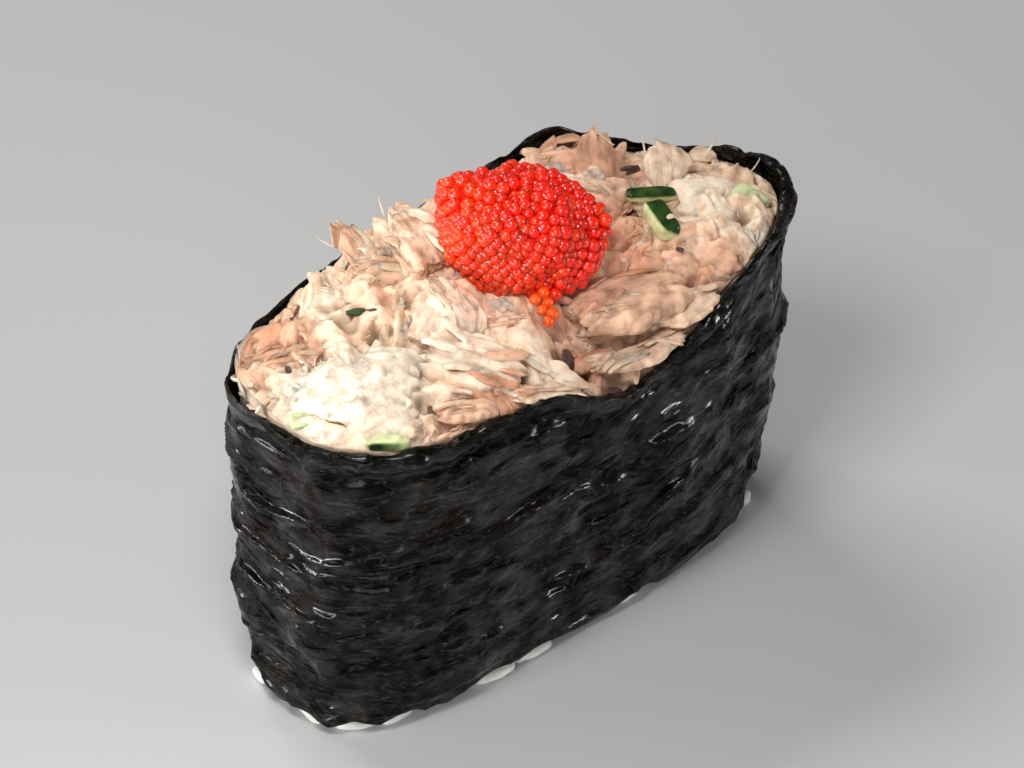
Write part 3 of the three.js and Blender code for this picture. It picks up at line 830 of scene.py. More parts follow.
# %% Gaps between the pieces
# Each row: a gap's place in plan, how wide it is and how deep
GAPS = ((-1.2, -9.9, 1.5, 3.0), (1.2, -13.0, 1.2, 2.6), (-8.5, -10.6, 1.1, 2.2), (10.8, -5.2, 0.9, 1.9),
        (-16.2, 3.4, 1.1, 2.2), (-26.0, 3.2, 0.8, 1.6), (17.6, -10.2, 0.9, 1.9), (11.2, 7.6, 1.1, 2.2),
        (-13.0, -3.4, 0.8, 1.7), (-17.4, -8.4, 0.8, 1.7), (-3.6, -6.0, 0.6, 1.4), (13.4, -10.8, 0.9, 1.9),
        (-20.0, 1.6, 0.7, 1.6), (-11.6, 3.2, 0.7, 1.5), (18.6, 1.8, 0.7, 1.5), (22.6, -8.0, 0.7, 1.6),
        (-12.6, -8.2, 0.9, 2.0), (-17.3, -10.6, 0.8, 1.7), (-9.6, -6.6, 0.7, 1.6), (8.3, -13.4, 0.9, 1.9))


def heap_holes(x, y):
    """How deep the gaps between the pieces go at each place: a steep pit for each row above."""
    deep = 0 * x
    for gap_x, gap_y, wide, down in GAPS:
        deep = deep + down * np.exp(-(((x - gap_x) ** 2 + (y - gap_y) ** 2) / wide ** 2) ** 1.5)
    return deep


# %% The heap's surface
HEAP_COLUMNS, HEAP_RINGS, HEAP_WALL = 600, 150, 6
SALAD_LOW = 21.3
# Each row: a stretch where the mash is pressed up against the wall, its middle, its width in
# shares of the way round, and how much higher
HIGH_STRETCHES = ((0.45, 0.07, 1.7), (0.08, 0.09, 0.9))
ROE_CENTRE = np.array([2.0, 0.1, 39.5])
ROE_BED, ROE_REACH = 35.4, 6.6
# The brown of the painted shade in hollows, splits and pits
PAINTED_CREVICE_SHADE = linear(84, 52, 36)


def heap_surface():
    """Wall rings from the rice up, then rings inwards over the heap, then the two poles. Under
    the roe the heap is kept down to a bed. Its colour has painted shade: it goes to brown where
    the surface is low and is darker on the wall rings, and fibre crests are a little lighter."""
    around = (np.arange(HEAP_COLUMNS) / HEAP_COLUMNS)[None]
    edge = heap_edge(around) - 0.2
    for place, wide, higher in HIGH_STRETCHES:
        edge = edge + higher * bump(around, place, wide)
    rising = np.linspace(0, 1, HEAP_WALL)[:, None]
    wall = rising * (edge - SALAD_LOW) + SALAD_LOW
    wall_x, wall_y = oval(angle_at(around), wall, mix(-1.35, -1.05, rising ** 3))
    out = (1 - np.arange(1, HEAP_RINGS) / HEAP_RINGS)[:, None]
    x, y = wall_x[-1] * out, wall_y[-1] * out
    height, owner, fibres = (part.reshape(x.shape) for part in flaked(x.ravel(), y.ravel()))
    soft = np.minimum(1, (1 - out) * 25)
    flat = np.stack([x, y, 0 * x], -1)
    lumpy = 0.4 * noise(flat / 2.4, 41) + 0.2 * noise(flat / 0.9, 42) + 0.08 * noise(flat / 0.4, 40)
    pits = np.clip(noise(flat / 1.25, 43) - 0.5, 0, 1) * 2.4
    z = heap_height(x, y) - 0.35 + (height + lumpy) * mix(0.6, 1, soft) - 0.8 * pits - heap_holes(x, y)
    under_roe = np.hypot(x - ROE_CENTRE[0], y - ROE_CENTRE[1]) < ROE_REACH
    z = np.where(under_roe, np.minimum(z, ROE_BED + 0.9), z)
    grid = np.concatenate([np.stack([wall_x, wall_y, wall], -1), np.stack([x, y, z], -1)])
    # Painted shade: the colour goes towards brown where the surface is low, in pits and gaps.
    depth = np.clip(0.1 - 0.45 * height - 0.25 * lumpy + 0.9 * pits + 0.5 * heap_holes(x, y), 0, 1)
    colour = mix(salad_colour(x, y, owner), PAINTED_CREVICE_SHADE, 0.8 * depth[..., None])
    # Painted light and shade: fibre crests a little lighter, their grooves a little darker.
    colour = colour * (1 + 0.05 * fibres[..., None])
    # Painted shade: the mash's sides down inside the wrap are painted darker.
    wall_colour = np.broadcast_to(salad_colour(wall_x, wall_y) * 0.6, wall_x.shape + (3,))
    colour = np.concatenate([wall_colour, colour]).reshape(-1, 3)
    points = np.concatenate([grid.reshape(-1, 3), [[0, 0, SALAD_LOW], [0, 0, float(z[-1].mean())]]])
    return points, np.concatenate([colour, colour[-2:]])


heap, heap_colour = heap_surface()
heap_faces = tube_faces(HEAP_WALL + HEAP_RINGS - 1, HEAP_COLUMNS)
make_piece("salad_mash", heap, heap_faces, mash_material, "fish_salad", heap_colour)

# %% [markdown]
# ## Flakes that stand out
#
# Cooked fish falls into flakes: flat slabs of fibres, with long splits between the fibres and
# ends torn to different lengths. A bundle of separate strands was tried and looked like a
# brush, because real strands stay stuck together. So a flake here is one closed slab. Its
# section is a squared oval, each of its two edges wanders on its own, every line of points
# along it ends at its own length, and splits and fine fibres are cut into its face.

# %% Grid of a slab


def slab_grid(rows, columns):
    """Along a slab in even steps from -1 to 1, and the cosine and sine round it. The two points
    that close the ends come last and lie a little inside, so that the torn ends stand free."""
    t = (np.arange(columns) + 0.5) * TURN / columns
    along = np.append(np.repeat(np.linspace(-1, 1, rows), columns), [-0.86, 0.86])
    return along, np.append(np.tile(np.cos(t), rows), [0, 0]), np.append(np.tile(np.sin(t), rows), [0, 0])


# %% Torn slabs
EDGE_WANDER, EDGE_NICK = 0.24, 0.2
FIBRE_RELIEF, SPLIT_RELIEF, CRUMB_RELIEF = 0.10, 0.42, 0.24
MOST_NARROW = 0.94


def slabs(sizes, bends, grid, seed, point=0.5):
    """Points of each slab: a squared oval section carried along, with wandering edges, ends that
    narrow and tear, and splits, fibres and crumbs in its face. The more an end narrows, the more
    jagged it is. Also how deep its face lies, and its flat map."""
    along, across, over = (v[None] for v in slab_grid(*grid))
    long, wide, thick = (sizes[:, i, None] for i in range(3))
    which = np.arange(len(sizes))[:, None]
    own, end, side = 9.1 * which, np.sign(along), np.sign(across)
    narrow = np.asarray(point).reshape(-1, 1) * mix(0.7, 1.3, hashed(which, end.astype(int), 1, seed))
    narrow = np.minimum(narrow, MOST_NARROW)
    half = wide / 2 * (1 - narrow * np.abs(along) ** (2.6 - 1.4 * narrow))
    wander = noise(np.stack([along * long / 3.4, 2.7 * side + own, own + 0 * along], -1), seed)
    nick = noise(np.stack([along * long / 1.0, 2.7 * side + own, own + 0 * along], -1), seed + 6)
    half = half * (1 + EDGE_WANDER * wander + EDGE_NICK * nick * across ** 6 * np.minimum(1, 3 / wide))
    y = half * signed_power(across, 0.8)
    tear = noise(np.stack([y / 1.1, 3.3 * end + own, own + 0 * y], -1), seed + 1)
    tooth = hashed(np.round(y / 0.25).astype(int), which + 0 * end.astype(int), end.astype(int), seed)
    jagged = 0.14 + 0.8 * np.clip(narrow - 0.7, 0, 1)
    reach = 1 - (0.16 + 0.14 * tear + jagged * tooth) * along ** 2
    x = long / 2 * along * reach
    place = np.stack([x, y, own + 0 * x], -1)
    split = (1 - np.abs(noise(place / [5.0, 1.0, 1.0], seed + 3))) ** 5
    fine = ridges(place / [3.2, 0.38, 1.0], seed + 4)
    crumb = noise(place / [1.3, 0.8, 1.0], seed + 5)
    face = FIBRE_RELIEF * fine - SPLIT_RELIEF * split + CRUMB_RELIEF * crumb
    face = face * np.minimum(1, thick / 1.3)
    body = thick / 2 * (1 - 0.6 * along ** 4)
    curve = 0.09 * long * noise(np.stack([along * 0.9 + own, own + 0 * x, 0 * x], -1), seed + 2)
    z = body * signed_power(over, 0.7) + face * np.clip(over * 1.5, 0, 1) + bends[:, None] * along ** 2
    flat = np.stack([y + own, x / 8 + own], -1)
    return np.stack([x, y + curve, z], -1), np.clip(0.6 * split - 0.5 * crumb, 0, 1), flat


# %% Placed, and kept inside the wrap


def placed(local, matrices, centres):
    """Local points turned by each piece's matrix and moved to its place."""
    return np.einsum("nij,nmj->nmi", matrices, local) + centres[:, None, :]


def kept_inside(points):
    """Points below the rim are pressed back inside the wall, those over it end just past it, and
    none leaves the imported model's box."""
    x, y, z = np.moveaxis(points, -1, 0)
    around, _ = heap_place(x, y)
    over_rim = np.clip((z - rim_height(around)) / 0.7, 0, 1)
    wall_x, wall_y = oval(angle_at(around), np.minimum(z, STRIP_WIDTH), mix(-1.0, 0.9, over_rim))
    shrink = np.minimum(1, np.hypot(wall_x, wall_y) / np.maximum(np.hypot(x, y), 1e-6))
    return np.clip(np.stack([x * shrink, y * shrink, z], -1), BOX_LOW, BOX_HIGH)


# %% One mesh of fish


def fish_slabs(name, at, sizes, matrices, bends, grid, seed, paler=0.0, point=0.5):
    """One mesh of slabs, coloured by where each lies, with brown painted shade down in its splits."""
    local, deep, flat = slabs(sizes, bends, grid, seed, point)
    points = kept_inside(placed(local, matrices, at))
    tone = salad_colour(at[:, 0], at[:, 1], hashed(np.arange(len(at)), 0, 0, seed) + paler)
    # Painted shade: brown where the face lies deep in a split.
    colour = mix(tone[:, None, :], PAINTED_CREVICE_SHADE, 0.6 * deep[..., None])
    faces = repeated(tube_faces(*grid), len(at), local.shape[1])
    return make_piece(name, points, faces, flake_material, "fish_salad", colour, flat)


# %% [markdown]
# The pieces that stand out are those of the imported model: the same places, sizes and turns,
# with a word for what each one is. The smaller ones follow from the same even spread.

# %% Pieces that stand out
# Each row: kind, place of the middle, size, yaw and pitch
STANDING = {
    "strand_over_the_rim": ("fish", (-9.4, 9.0, 37.6), (11.5, 3.4, 1.6), -1.64, 0.22),
    "upright_sliver": ("fish", (-15.5, 8.2, 36.5), (6.8, 3.6, 1.5), -2.4, 0.54),
    "flake_at_the_minus_x_end": ("fish", (-22.6, 5.0, 35.2), (8, 4.2, 1.8), -0.46, -0.03),
    "creamy_lump": ("cream", (-21.2, -4.0, 35.0), (11, 9.5, 4.6), -1.62, 0.04),
    "small_creamy_lump": ("cream", (-24.7, 0.9, 34.8), (6.2, 4.6, 3), -1.73, 0.05),
    "top_of_the_bank": ("fish", (-5.1, 6.8, 38.3), (9, 6.4, 3.6), -1.73, 0.11),
    "side_of_the_bank": ("fish", (-9.0, 6.4, 37.4), (6, 4.6, 3), -0.4, 0.07),
    "middle_flake": ("fish", (-10.8, -7.4, 35.8), (11, 6, 3.2), -1.06, 0.14),
    "flake_by_the_roe": ("fish", (-8.0, -2.1, 37.0), (7.5, 5, 2.8), -1.81, 0.09),
    "flake_inside_the_rim": ("fish", (-14.6, -10.8, 34.4), (7, 4, 2), -0.5, 0.1),
    "flake_on_the_rim": ("fish", (-7.2, -13.4, 33.7), (10, 3.4, 1.3), -0.22, 0.32),
    "large_flake": ("fish", (6.8, -9.2, 34.4), (13, 8.5, 3.8), -0.17, 0.02),
    "strand_in_the_dip": ("fish", (4.4, -12.8, 31.7), (11.5, 3.6, 1.7), -0.2, 0),
    "strand_past_the_dip": ("fish", (11.0, -12.4, 33.4), (8, 3.2, 1.6), -0.15, -0.1),
    "cream_by_the_large_flake": ("cream", (18.2, -8.2, 34.2), (8.4, 6, 3.6), -1.59, 0.1),
    "cream_at_the_plus_x_end": ("cream", (21.6, -3.6, 34.9), (6.6, 5, 3), -0.6, 0.1),
    "flake_behind_the_roe": ("fish", (14.0, 2.6, 36.1), (6.6, 5, 2.8), -1.27, 0.07),
    "flake_at_the_far_rim": ("fish", (14.2, 8.6, 36.2), (5.6, 3.8, 1.8), -0.78, -0.31),
    "tall_spike": ("fish", (16.8, 5.5, 36.8), (9.0, 5.6, 1.0), -2.3, 0.6),
    "second_spike": ("fish", (21.8, 1.7, 36.2), (7.4, 5.2, 1.0), -2.0, 0.5),
    "third_spike": ("fish", (25.6, -3.6, 35.2), (5.6, 3.4, 1.1), -2.6, 0.5),
    "cucumber_stick": ("cucumber", (15.0, -4.6, 35.4), (5, 2.6, 1.8), -1.84, 0.17),
    "cucumber_strip": ("cucumber", (17.1, -1.2, 35.8), (5, 1.9, 1.7), -0.56, 0.09),
    "cucumber_at_the_rim": ("cucumber", (24.8, -6.0, 34.2), (4.4, 2.6, 1.8), -1.36, 0.19),
    "cucumber_at_the_minus_x_end": ("cucumber", (-26.2, -2.9, 34.4), (4.6, 2, 1.7), -0.44, 0),
    "cucumber_by_the_lump": ("cucumber", (-22.8, -9.2, 34.3), (4.6, 2, 1.7), -0.7, 0),
}
names = np.array(list(STANDING))
kinds = np.array([row[0] for row in STANDING.values()])
standing_at, standing_size = (np.array([row[i] for row in STANDING.values()], float) for i in (1, 2))
standing_yaw, standing_pitch = (np.array([row[i] for row in STANDING.values()], float) for i in (3, 4))
print({str(kind): int((kinds == kind).sum()) for kind in np.unique(kinds)})

# %% Smaller flakes
SCATTERED = 26


def scattered_flakes():
    """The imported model's smaller flakes: evenly spread over the heap, lying as they fell."""
    k = np.arange(SCATTERED)
    around, out = spread(k, 0), np.sqrt(spread(k, 1)) * 0.9
    x, y = oval(angle_at(around), SALAD_LEVEL, -NORI_THICK - WALL_GAP)
    x, y = x * out, y * out
    long = mix(5, 9, spread(k, 2) ** 1.6)
    size = np.stack([long, long * mix(0.35, 0.6, spread(k, 3)), mix(1.3, 2, spread(k, 4))], -1)
    return (np.stack([x, y, heap_height(x, y) + 0.15], -1), size, TURN * spread(k, 5),
            mix(-0.35, 0.35, spread(k, 6)))


scattered_at, scattered_size, scattered_yaw, scattered_pitch = scattered_flakes()
order = np.arange(len(kinds) + SCATTERED)
rolls, bends = mix(-0.4, 0.4, spread(order, 7)), mix(-0.5, 0.3, spread(order, 8))

# %% Large flakes
# A piece pitched more than this stands up, and its end is drawn to a point
STEEP = 0.4
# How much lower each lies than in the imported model, and its size as a share of the one there
FLAKE_SINK, FLAKE_SHARE = np.array([0, 0, 0.2]), np.array([1.04, 0.96, 0.8])
fish = np.flatnonzero(kinds == "fish")
fish_at, fish_size, fish_pitch = standing_at[fish], standing_size[fish], standing_pitch[fish]
fish_turns = turned(standing_yaw[fish], fish_pitch, rolls[fish])
points_out = np.where(fish_pitch > STEEP, 1.2, 0.5)
points_out[names[fish] == "upright_sliver"] = 0.4
fish_slabs("large_flakes", fish_at - FLAKE_SINK, fish_size * FLAKE_SHARE, fish_turns, bends[fish],
           grid=(44, 64), seed=51, point=points_out)

# %% [markdown]
# A flake that has been stirred is never clean: thinner shreds cling to its face. These are laid
# in each large flake's own frame, so they follow its tilt, and they run nearly the way it does.

# %% Shreds on the large flakes
ON_EACH = 7
lying_flat = np.flatnonzero(fish_pitch < STEEP)
k = np.arange(ON_EACH * len(lying_flat))
owner = lying_flat[k // ON_EACH]
chance = [hashed(k, i, 0, 55) for i in range(8)]
spot = np.stack([chance[0] - 0.5, chance[1] - 0.5, 0 * k], -1) * fish_size[owner] * 0.7
spot[:, 2] = fish_size[owner, 2] * 0.36 - 0.15
at = fish_at[owner] + np.einsum("nij,nj->ni", fish_turns[owner], spot)
sizes = np.stack([mix(0.25, 0.65, chance[2]) * fish_size[owner, 0], mix(0.3, 1.2, chance[3]),
                  mix(0.25, 0.45, chance[4])], -1)
askew = turned(mix(-0.45, 0.45, chance[5]), mix(-0.1, 0.1, chance[6]), mix(-0.3, 0.3, chance[7]))
fish_slabs("shreds_on_flakes", at, sizes, fish_turns[owner] @ askew, -0.06 * sizes[:, 0], grid=(18, 12),
           seed=56, point=0.6)

# %% Small flakes
SMALL_SHARE = np.array([1.05, 1, 0.8])
turns = turned(scattered_yaw, scattered_pitch, rolls[len(kinds):])
fish_slabs("small_flakes", scattered_at, scattered_size * SMALL_SHARE, turns, bends[len(kinds):],
           grid=(30, 40), seed=53)

# %% [markdown]
# The far rim is mostly hidden: the heap was pressed in until flakes lay over the edge. These
# start inside the wall and point outwards and up, so that from the front they stand in front of
# the nori's inner face.

# %% Flakes over the far rim
# Each row: a stretch of the way round, from and to, and how many flakes lie on it
RIM_STRETCHES = ((0.255, 0.345, 9), (0.355, 0.375, 3), (0.395, 0.53, 18), (0.01, 0.22, 16))
around = np.concatenate([mix(start, stop, (np.arange(count) + 0.5) / count)
                         for start, stop, count in RIM_STRETCHES])
k = np.arange(len(around))
chance = [hashed(k, i, 0, 57) for i in range(8)]
around = around + 0.008 * (chance[0] - 0.5)
angle = angle_at(around)
x, y = oval(angle, STRIP_WIDTH + 0 * angle, mix(-2.6, -1.3, chance[1]))
at = np.stack([x, y, rim_height(around) + mix(-0.6, 0.2, chance[2])], -1)
outward = np.arctan2(y, x) + mix(-1.5, 1.5, chance[3])
sizes = np.stack([mix(2.2, 5.0, chance[4]), mix(0.8, 2.8, chance[5]), mix(0.3, 0.5, chance[6])], -1)
turns = turned(outward, -mix(0.05, 0.4, chance[7]), mix(-0.4, 0.4, chance[0]))
fish_slabs("rim_flakes", at, sizes, turns, -0.06 * sizes[:, 0], grid=(20, 22), seed=58, point=0.75)

# %% [markdown]
# A few single fibres stand up where a flake was pulled apart. They are only a fifth of a
# millimetre wide, yet they show against whatever is behind the heap. A curve with a bevel would
# do, but a very thin slab keeps the same finish and costs no new code.

# %% Wisps
# Each row: where the middle of a fibre is, then its length, yaw and pitch
WISPS = (((14.6, 9.2, 37.0), 4.2, 0.4, -0.4), ((17.6, 6.2, 39.0), 4.5, 2.4, -0.9),
         ((25.8, 0.4, 36.2), 4.6, 0.2, -0.5), ((27.4, -3.6, 35.4), 4.0, -0.6, -0.8),
         ((-10.4, 12.6, 37.6), 4.0, 2.2, -0.6), ((-4.4, 11.8, 38.6), 3.4, 1.4, -0.7),
         ((-24.4, 7.0, 35.2), 3.6, 2.6, -0.4), ((8.2, 11.0, 36.4), 4.4, 1.9, -0.5),
         ((21.0, 3.8, 37.2), 3.6, 1.2, -0.9))
WISP_WIDE, WISP_THICK = 0.2, 0.14
at, long, yaw, pitch = (np.array(column) for column in zip(*WISPS))
sizes = np.stack([long, 0 * yaw + WISP_WIDE, 0 * yaw + WISP_THICK], -1)
fish_slabs("wisps", at, sizes, turned(yaw, pitch, 0 * yaw), 0.1 * long, grid=(16, 6), seed=59, paler=0.5,
           point=0.9)

# %% [markdown]
# ## Shreds, fibres and dabs
#
# Over the heap lie shreds of a few strands, single loose fibres and dabs of mayonnaise. They
# follow the slope of the heap, so each one's matrix starts from the surface's own normal, found
# by stepping a little way along X and along Y. Places under the roe are left out.

# %% The heap's slope
SLOPE_STEP = 0.4


def slope_matrices(x, y):
    """Matrices whose third column is the heap's normal, from the height a small step away."""
    ahead = (heap_height(x + SLOPE_STEP, y) - heap_height(x - SLOPE_STEP, y)) / (2 * SLOPE_STEP)
    aside = (heap_height(x, y + SLOPE_STEP) - heap_height(x, y - SLOPE_STEP)) / (2 * SLOPE_STEP)
    normal = np.stack([-ahead, -aside, 0 * x + 1], -1)
    normal /= np.linalg.norm(normal, axis=-1, keepdims=True)
    first = np.cross(np.broadcast_to([0.0, 1.0, 0.0], normal.shape), normal)
    first /= np.linalg.norm(first, axis=-1, keepdims=True)
    return np.stack([first, np.cross(normal, first), normal], -1)


# %% Laid on the heap
ROE_SHADOW = 6.4
LEAST_GAP = 0.15


def laid(count, stream, reach, low, high, tilt, loose=0.6):
    """Even places over the heap, clear of the roe and the gaps, with matrices that follow the
    slope and the fibres' way there. Low and high are heights over the heap's level."""
    k = np.arange(count)
    around, out = spread(k, stream), np.sqrt(spread(k, stream + 1)) * reach
    x, y = oval(angle_at(around), SALAD_LEVEL, -NORI_THICK - WALL_GAP)
    x, y = x * out, y * out
    beside_roe = np.hypot(x - ROE_CENTRE[0], y - ROE_CENTRE[1]) > ROE_SHADOW
    clear = beside_roe & (heap_holes(x, y) < LEAST_GAP)
    k, x, y = k[clear], x[clear], y[clear]
    yaw, pitch, roll, lift = (hashed(k, stream, i, 0) for i in range(4))
    way = grain_yaw(x, y) + (2 * yaw - 1) * loose
    matrices = slope_matrices(x, y) @ turned(way, (2 * pitch - 1) * tilt, (2 * roll - 1) * tilt)
    return k, np.stack([x, y, heap_height(x, y) + mix(low, high, lift)], -1), matrices


# %% Shreds and fibres


def strewn(name, count, stream, longs, wides, thicks, low, high, tilt, grid, seed, paler=0.0):
    """One mesh of shreds or fibres that follow the heap, with sizes between two ends."""
    k, centres, matrices = laid(count, stream, 0.98, low, high, tilt)
    chance = [hashed(k, stream, i, 1) for i in range(4)]
    long = mix(*longs, chance[0] ** 2)
    size = np.stack([long, mix(*wides, chance[1]), mix(*thicks, chance[2])], -1)
    bend = -mix(0.02, 0.12, chance[3]) * long
    return fish_slabs(name, centres, size, matrices, bend, grid, seed, paler, 0.8)


strewn("shreds", 280, stream=9, longs=(2.2, 7.5), wides=(0.3, 0.9), thicks=(0.3, 0.5),
       low=-0.3, high=0.1, tilt=0.15, grid=(18, 12), seed=61)
strewn("fibres", 900, stream=13, longs=(1.2, 4.0), wides=(0.1, 0.26), thicks=(0.12, 0.22),
       low=-0.05, high=0.25, tilt=0.3, grid=(8, 5), seed=62, paler=0.15)

# %% [markdown]
# Mayonnaise holds the salad together. Where it has gathered it makes pale rounded lumps with
# small pits, and everywhere else it sits in dabs that soften the fish's edges. Both are the
# same balls as the rice grains, dented more. A Displace modifier on a sphere would give the
# same lump, but hundreds of dabs are quicker as one array.

# %% Mayonnaise lumps
LUMP_GRID = (70, 96)
LUMP_SINK, LUMP_SHARE = np.array([0, 0, 0.1]), np.array([1.04, 1.04, 0.9])
PIT_DEEP = 0.8
cream = np.flatnonzero(kinds == "cream")
turns = turned(standing_yaw[cream], standing_pitch[cream], rolls[cream])
points = lumps(standing_at[cream] - LUMP_SINK, standing_size[cream] / 2 * LUMP_SHARE, turns,
               *LUMP_GRID, square=0.9, uneven=0.26, size=2.1, seed=71)
points = kept_inside(points)
pits = np.clip(noise(points / 0.9, 74) - 0.5, 0, 1) * 1.8
points[..., 2] += 0.3 * noise(points / 1.9, 76) + 0.06 * noise(points / 0.6, 75) - PIT_DEEP * pits
# Painted shade: the pits are painted brown.
shade = np.clip(0.7 * pits, 0, 0.7)[..., None]
tint = mix(salad_colour(points[..., 0], points[..., 1], 0.8), PAINTED_CREVICE_SHADE, shade)
make_piece("cream_lumps", points, repeated(tube_faces(*LUMP_GRID), len(cream), points.shape[1]),
           cream_material, "fish_salad", tint)

# %% Mayonnaise dabs
DAB_GRID = (8, 12)
DAB_HALF, DAB_FORM = (0.2, 0.95), np.array([1.3, 0.9, 0.5])
k, centres, matrices = laid(700, stream=17, reach=0.96, low=-0.15, high=0.2, tilt=0.3)
half = mix(*DAB_HALF, spread(k, 23) ** 2.2)[:, None] * DAB_FORM
points = kept_inside(lumps(centres, half, matrices, *DAB_GRID, square=0.95, uneven=0.35, size=0.9, seed=73))
own = mix(0.1, 1.7, hashed(k, 5, 0, 73))
tint = salad_colour(centres[:, 0], centres[:, 1], own)[:, None, :] + 0 * points
make_piece("cream_dabs", points, repeated(tube_faces(*DAB_GRID), len(k), points.shape[1]),
           cream_material, "fish_salad", tint)

# %% [markdown]
# Here and there lies a dark bit of fish skin or a speck of pepper. There are few of them, but
# without them the salad looks washed. They are the same torn slabs, small and dark. Two more
# dark bits lie in gaps between the pieces as painted shade.

# %% Small dark slabs
SKIN_AND_SHADE_DARK, GREEN_BIT, SPECK = linear(80, 62, 62), linear(46, 72, 34), linear(84, 62, 52)
# Each row: a larger bit's place in plan, its size, its yaw and how far it lies over the heap's
# level; the second and the seventh are dark bits laid in gaps as painted shade, and the last is a
# scrap of cucumber skin
SKIN_AND_SHADE_BITS = ((19.3, 3.9, (2.8, 2.2, 0.5), 0.4, 2.4), (-1.2, -9.7, (3.2, 1.7, 0.25), -0.5, 0.85),
             (0.8, -13.6, (3.0, 0.8, 0.25), -0.2, 0.7), (-24.0, 2.6, (1.4, 0.6, 0.25), 1.1, 0.6),
             (-17.5, -9.0, (1.3, 0.5, 0.25), 0.7, 0.6), (-13.6, 2.8, (1.6, 0.5, 0.25), -0.9, 0.6),
             (10.4, -11.6, (2.2, 1.0, 0.3), 0.6, 1.3), (13.6, -8.6, (1.5, 0.6, 0.3), 1.2, 0.9),
             (-14.4, 4.2, (2.4, 1.1, 0.4), -0.5, 0.9))


def dark_bits(name, at, sizes, matrices, grid, seed, colour):
    """One mesh of small dark slabs in their colours, a little uneven."""
    local, _, flat = slabs(sizes, 0 * sizes[:, 0], grid, seed)
    points = kept_inside(placed(local, matrices, at))
    tone = colour * (1 + 0.25 * noise(points / 0.7, seed))[..., None]
    faces = repeated(tube_faces(*grid), len(at), local.shape[1])
    return make_piece(name, points, faces, flake_material, "fish_salad", tone, flat)


# %% Bits of skin, and dark bits laid in gaps as painted shade
BIT_PITCH = 0.2
x, y, sizes, yaw, lift = (np.array(column) for column in zip(*SKIN_AND_SHADE_BITS))
at = np.stack([x, y, heap_height(x, y) + lift], -1)
colours = np.array([SKIN_AND_SHADE_DARK] * (len(at) - 1) + [GREEN_BIT])[:, None, :]
turns = slope_matrices(x, y) @ turned(yaw, BIT_PITCH, 0)
dark_bits("skin_and_shade_bits", at, sizes, turns, grid=(12, 14), seed=85, colour=colours)

# %% Pepper specks
k, at, matrices = laid(70, stream=21, reach=0.95, low=0.1, high=0.4, tilt=0.4)
sizes = mix(0.25, 0.75, spread(k, 27) ** 2)[:, None] * [1.4, 0.8, 0.5]
dark_bits("specks", at, sizes, matrices, grid=(5, 6), seed=86, colour=SPECK)

# %% [markdown]
# ## Cucumber
#
# Small cut pieces with dark green skin on one side and pale wet flesh. A piece is a squared
# ball, which gives flat cut faces with soft edges. Its colour is stored with its points: skin
# where a point lies far enough over to the skin's side, flesh elsewhere.

# %% Cucumber colours
SKIN, SKIN_LIGHT = linear(26, 50, 20), linear(64, 96, 40)
FLESH, FLESH_GREEN = linear(222, 224, 184), linear(182, 198, 132)
cucumber_material = salad_finish("cucumber", roughness=0.25, fibre=0, grain=0.04)
# Which way the skin faces on each piece, in the piece's own frame
SKIN_WAYS = np.array([(0.0, 0.6, 0.8), (0.0, 0.2, 0.98), (0.0, 1.0, 0.2), (0.0, -1.0, 0.0),
                      (0.0, -1.0, 0.0)])
# How far over a point has to lie to be skin: the thinner the slice's edge, the higher
SKIN_FROM = np.array([0.3, -0.1, 1.6, 0.9, 0.9])


def cucumber_colours(local, halves, ways):
    """Skin where a point lies far over to the skin's side, a green line under it, then flesh."""
    depth = np.einsum("nmi,ni->nm", local / halves[:, None, :], ways) - SKIN_FROM[:, None]
    green = np.maximum(1 + 3 * depth, 0.35) + 0.3 * noise(local / 0.7, 81)
    flesh = mix(FLESH, FLESH_GREEN, np.clip(green, 0, 1)[..., None])
    skin = blended(0.3 + 0.6 * noise(local / 0.6, 82), SKIN, SKIN_LIGHT)
    return mix(flesh, skin, np.clip(depth / 0.1, 0, 1)[..., None])


# %% Cucumber pieces
CUBE_GRID = (30, 40)
CUCUMBER_LIFT = np.array([1.1, 0.8, 0.3, 0.0, 0.0])
# Each piece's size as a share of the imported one's
CUCUMBER_SHARE = np.array([(0.85, 0.85, 1.0), (0.95, 0.7, 0.6), (0.8, 1.0, 0.9), (0.9, 1.0, 0.9),
                           (0.9, 1.0, 0.9)])
cubes = np.flatnonzero(kinds == "cucumber")
halves = standing_size[cubes] / 2 * CUCUMBER_SHARE
still = np.broadcast_to(np.eye(3), (len(cubes), 3, 3))
local = lumps(np.zeros((len(cubes), 3)), halves, still, *CUBE_GRID, square=0.42, uneven=0.07, size=1.6,
              seed=83)
turns = turned(standing_yaw[cubes], standing_pitch[cubes], rolls[cubes])
points = kept_inside(placed(local, turns, standing_at[cubes] + CUCUMBER_LIFT[:, None] * [0, 0, 1]))
make_piece("cucumber_pieces", points, repeated(tube_faces(*CUBE_GRID), len(cubes), points.shape[1]),
           cucumber_material, "fish_salad", cucumber_colours(local, halves, SKIN_WAYS))

# %% [markdown]
# ## Roe
#
# The roe is a mound of eggs a little over a millimetre across, each a clear skin over red
# liquid. They sit side by side on a lumpy ball. An even spiral places them: each next egg is
# turned by the golden angle, which leaves no rows or gaps. A red filling just below closes the
# view between them, and a few eggs have run down the slope in front.
#
# Glass with red inside would be truer to a single egg, but hundreds of clear balls side by side
# take long to render and tend to go dark. Here light goes a little way into a red body instead,
# under a thin coat that holds the highlight. An egg is so small in the picture that five rings
# of eight points, shaded smooth, make it round enough.

# %% Roe material
roe_material, tree, shader = new_material("roe", Roughness=0.25, IOR=1.36, Coat_Weight=0.6,
                                          Coat_Roughness=0.1, Subsurface_Weight=0.8,
                                          Subsurface_Scale=0.0016)
shader.inputs["Subsurface Radius"].default_value = (1.0, 0.07, 0.02)
tree.links.new(own_colour(tree), shader.inputs["Base Color"])

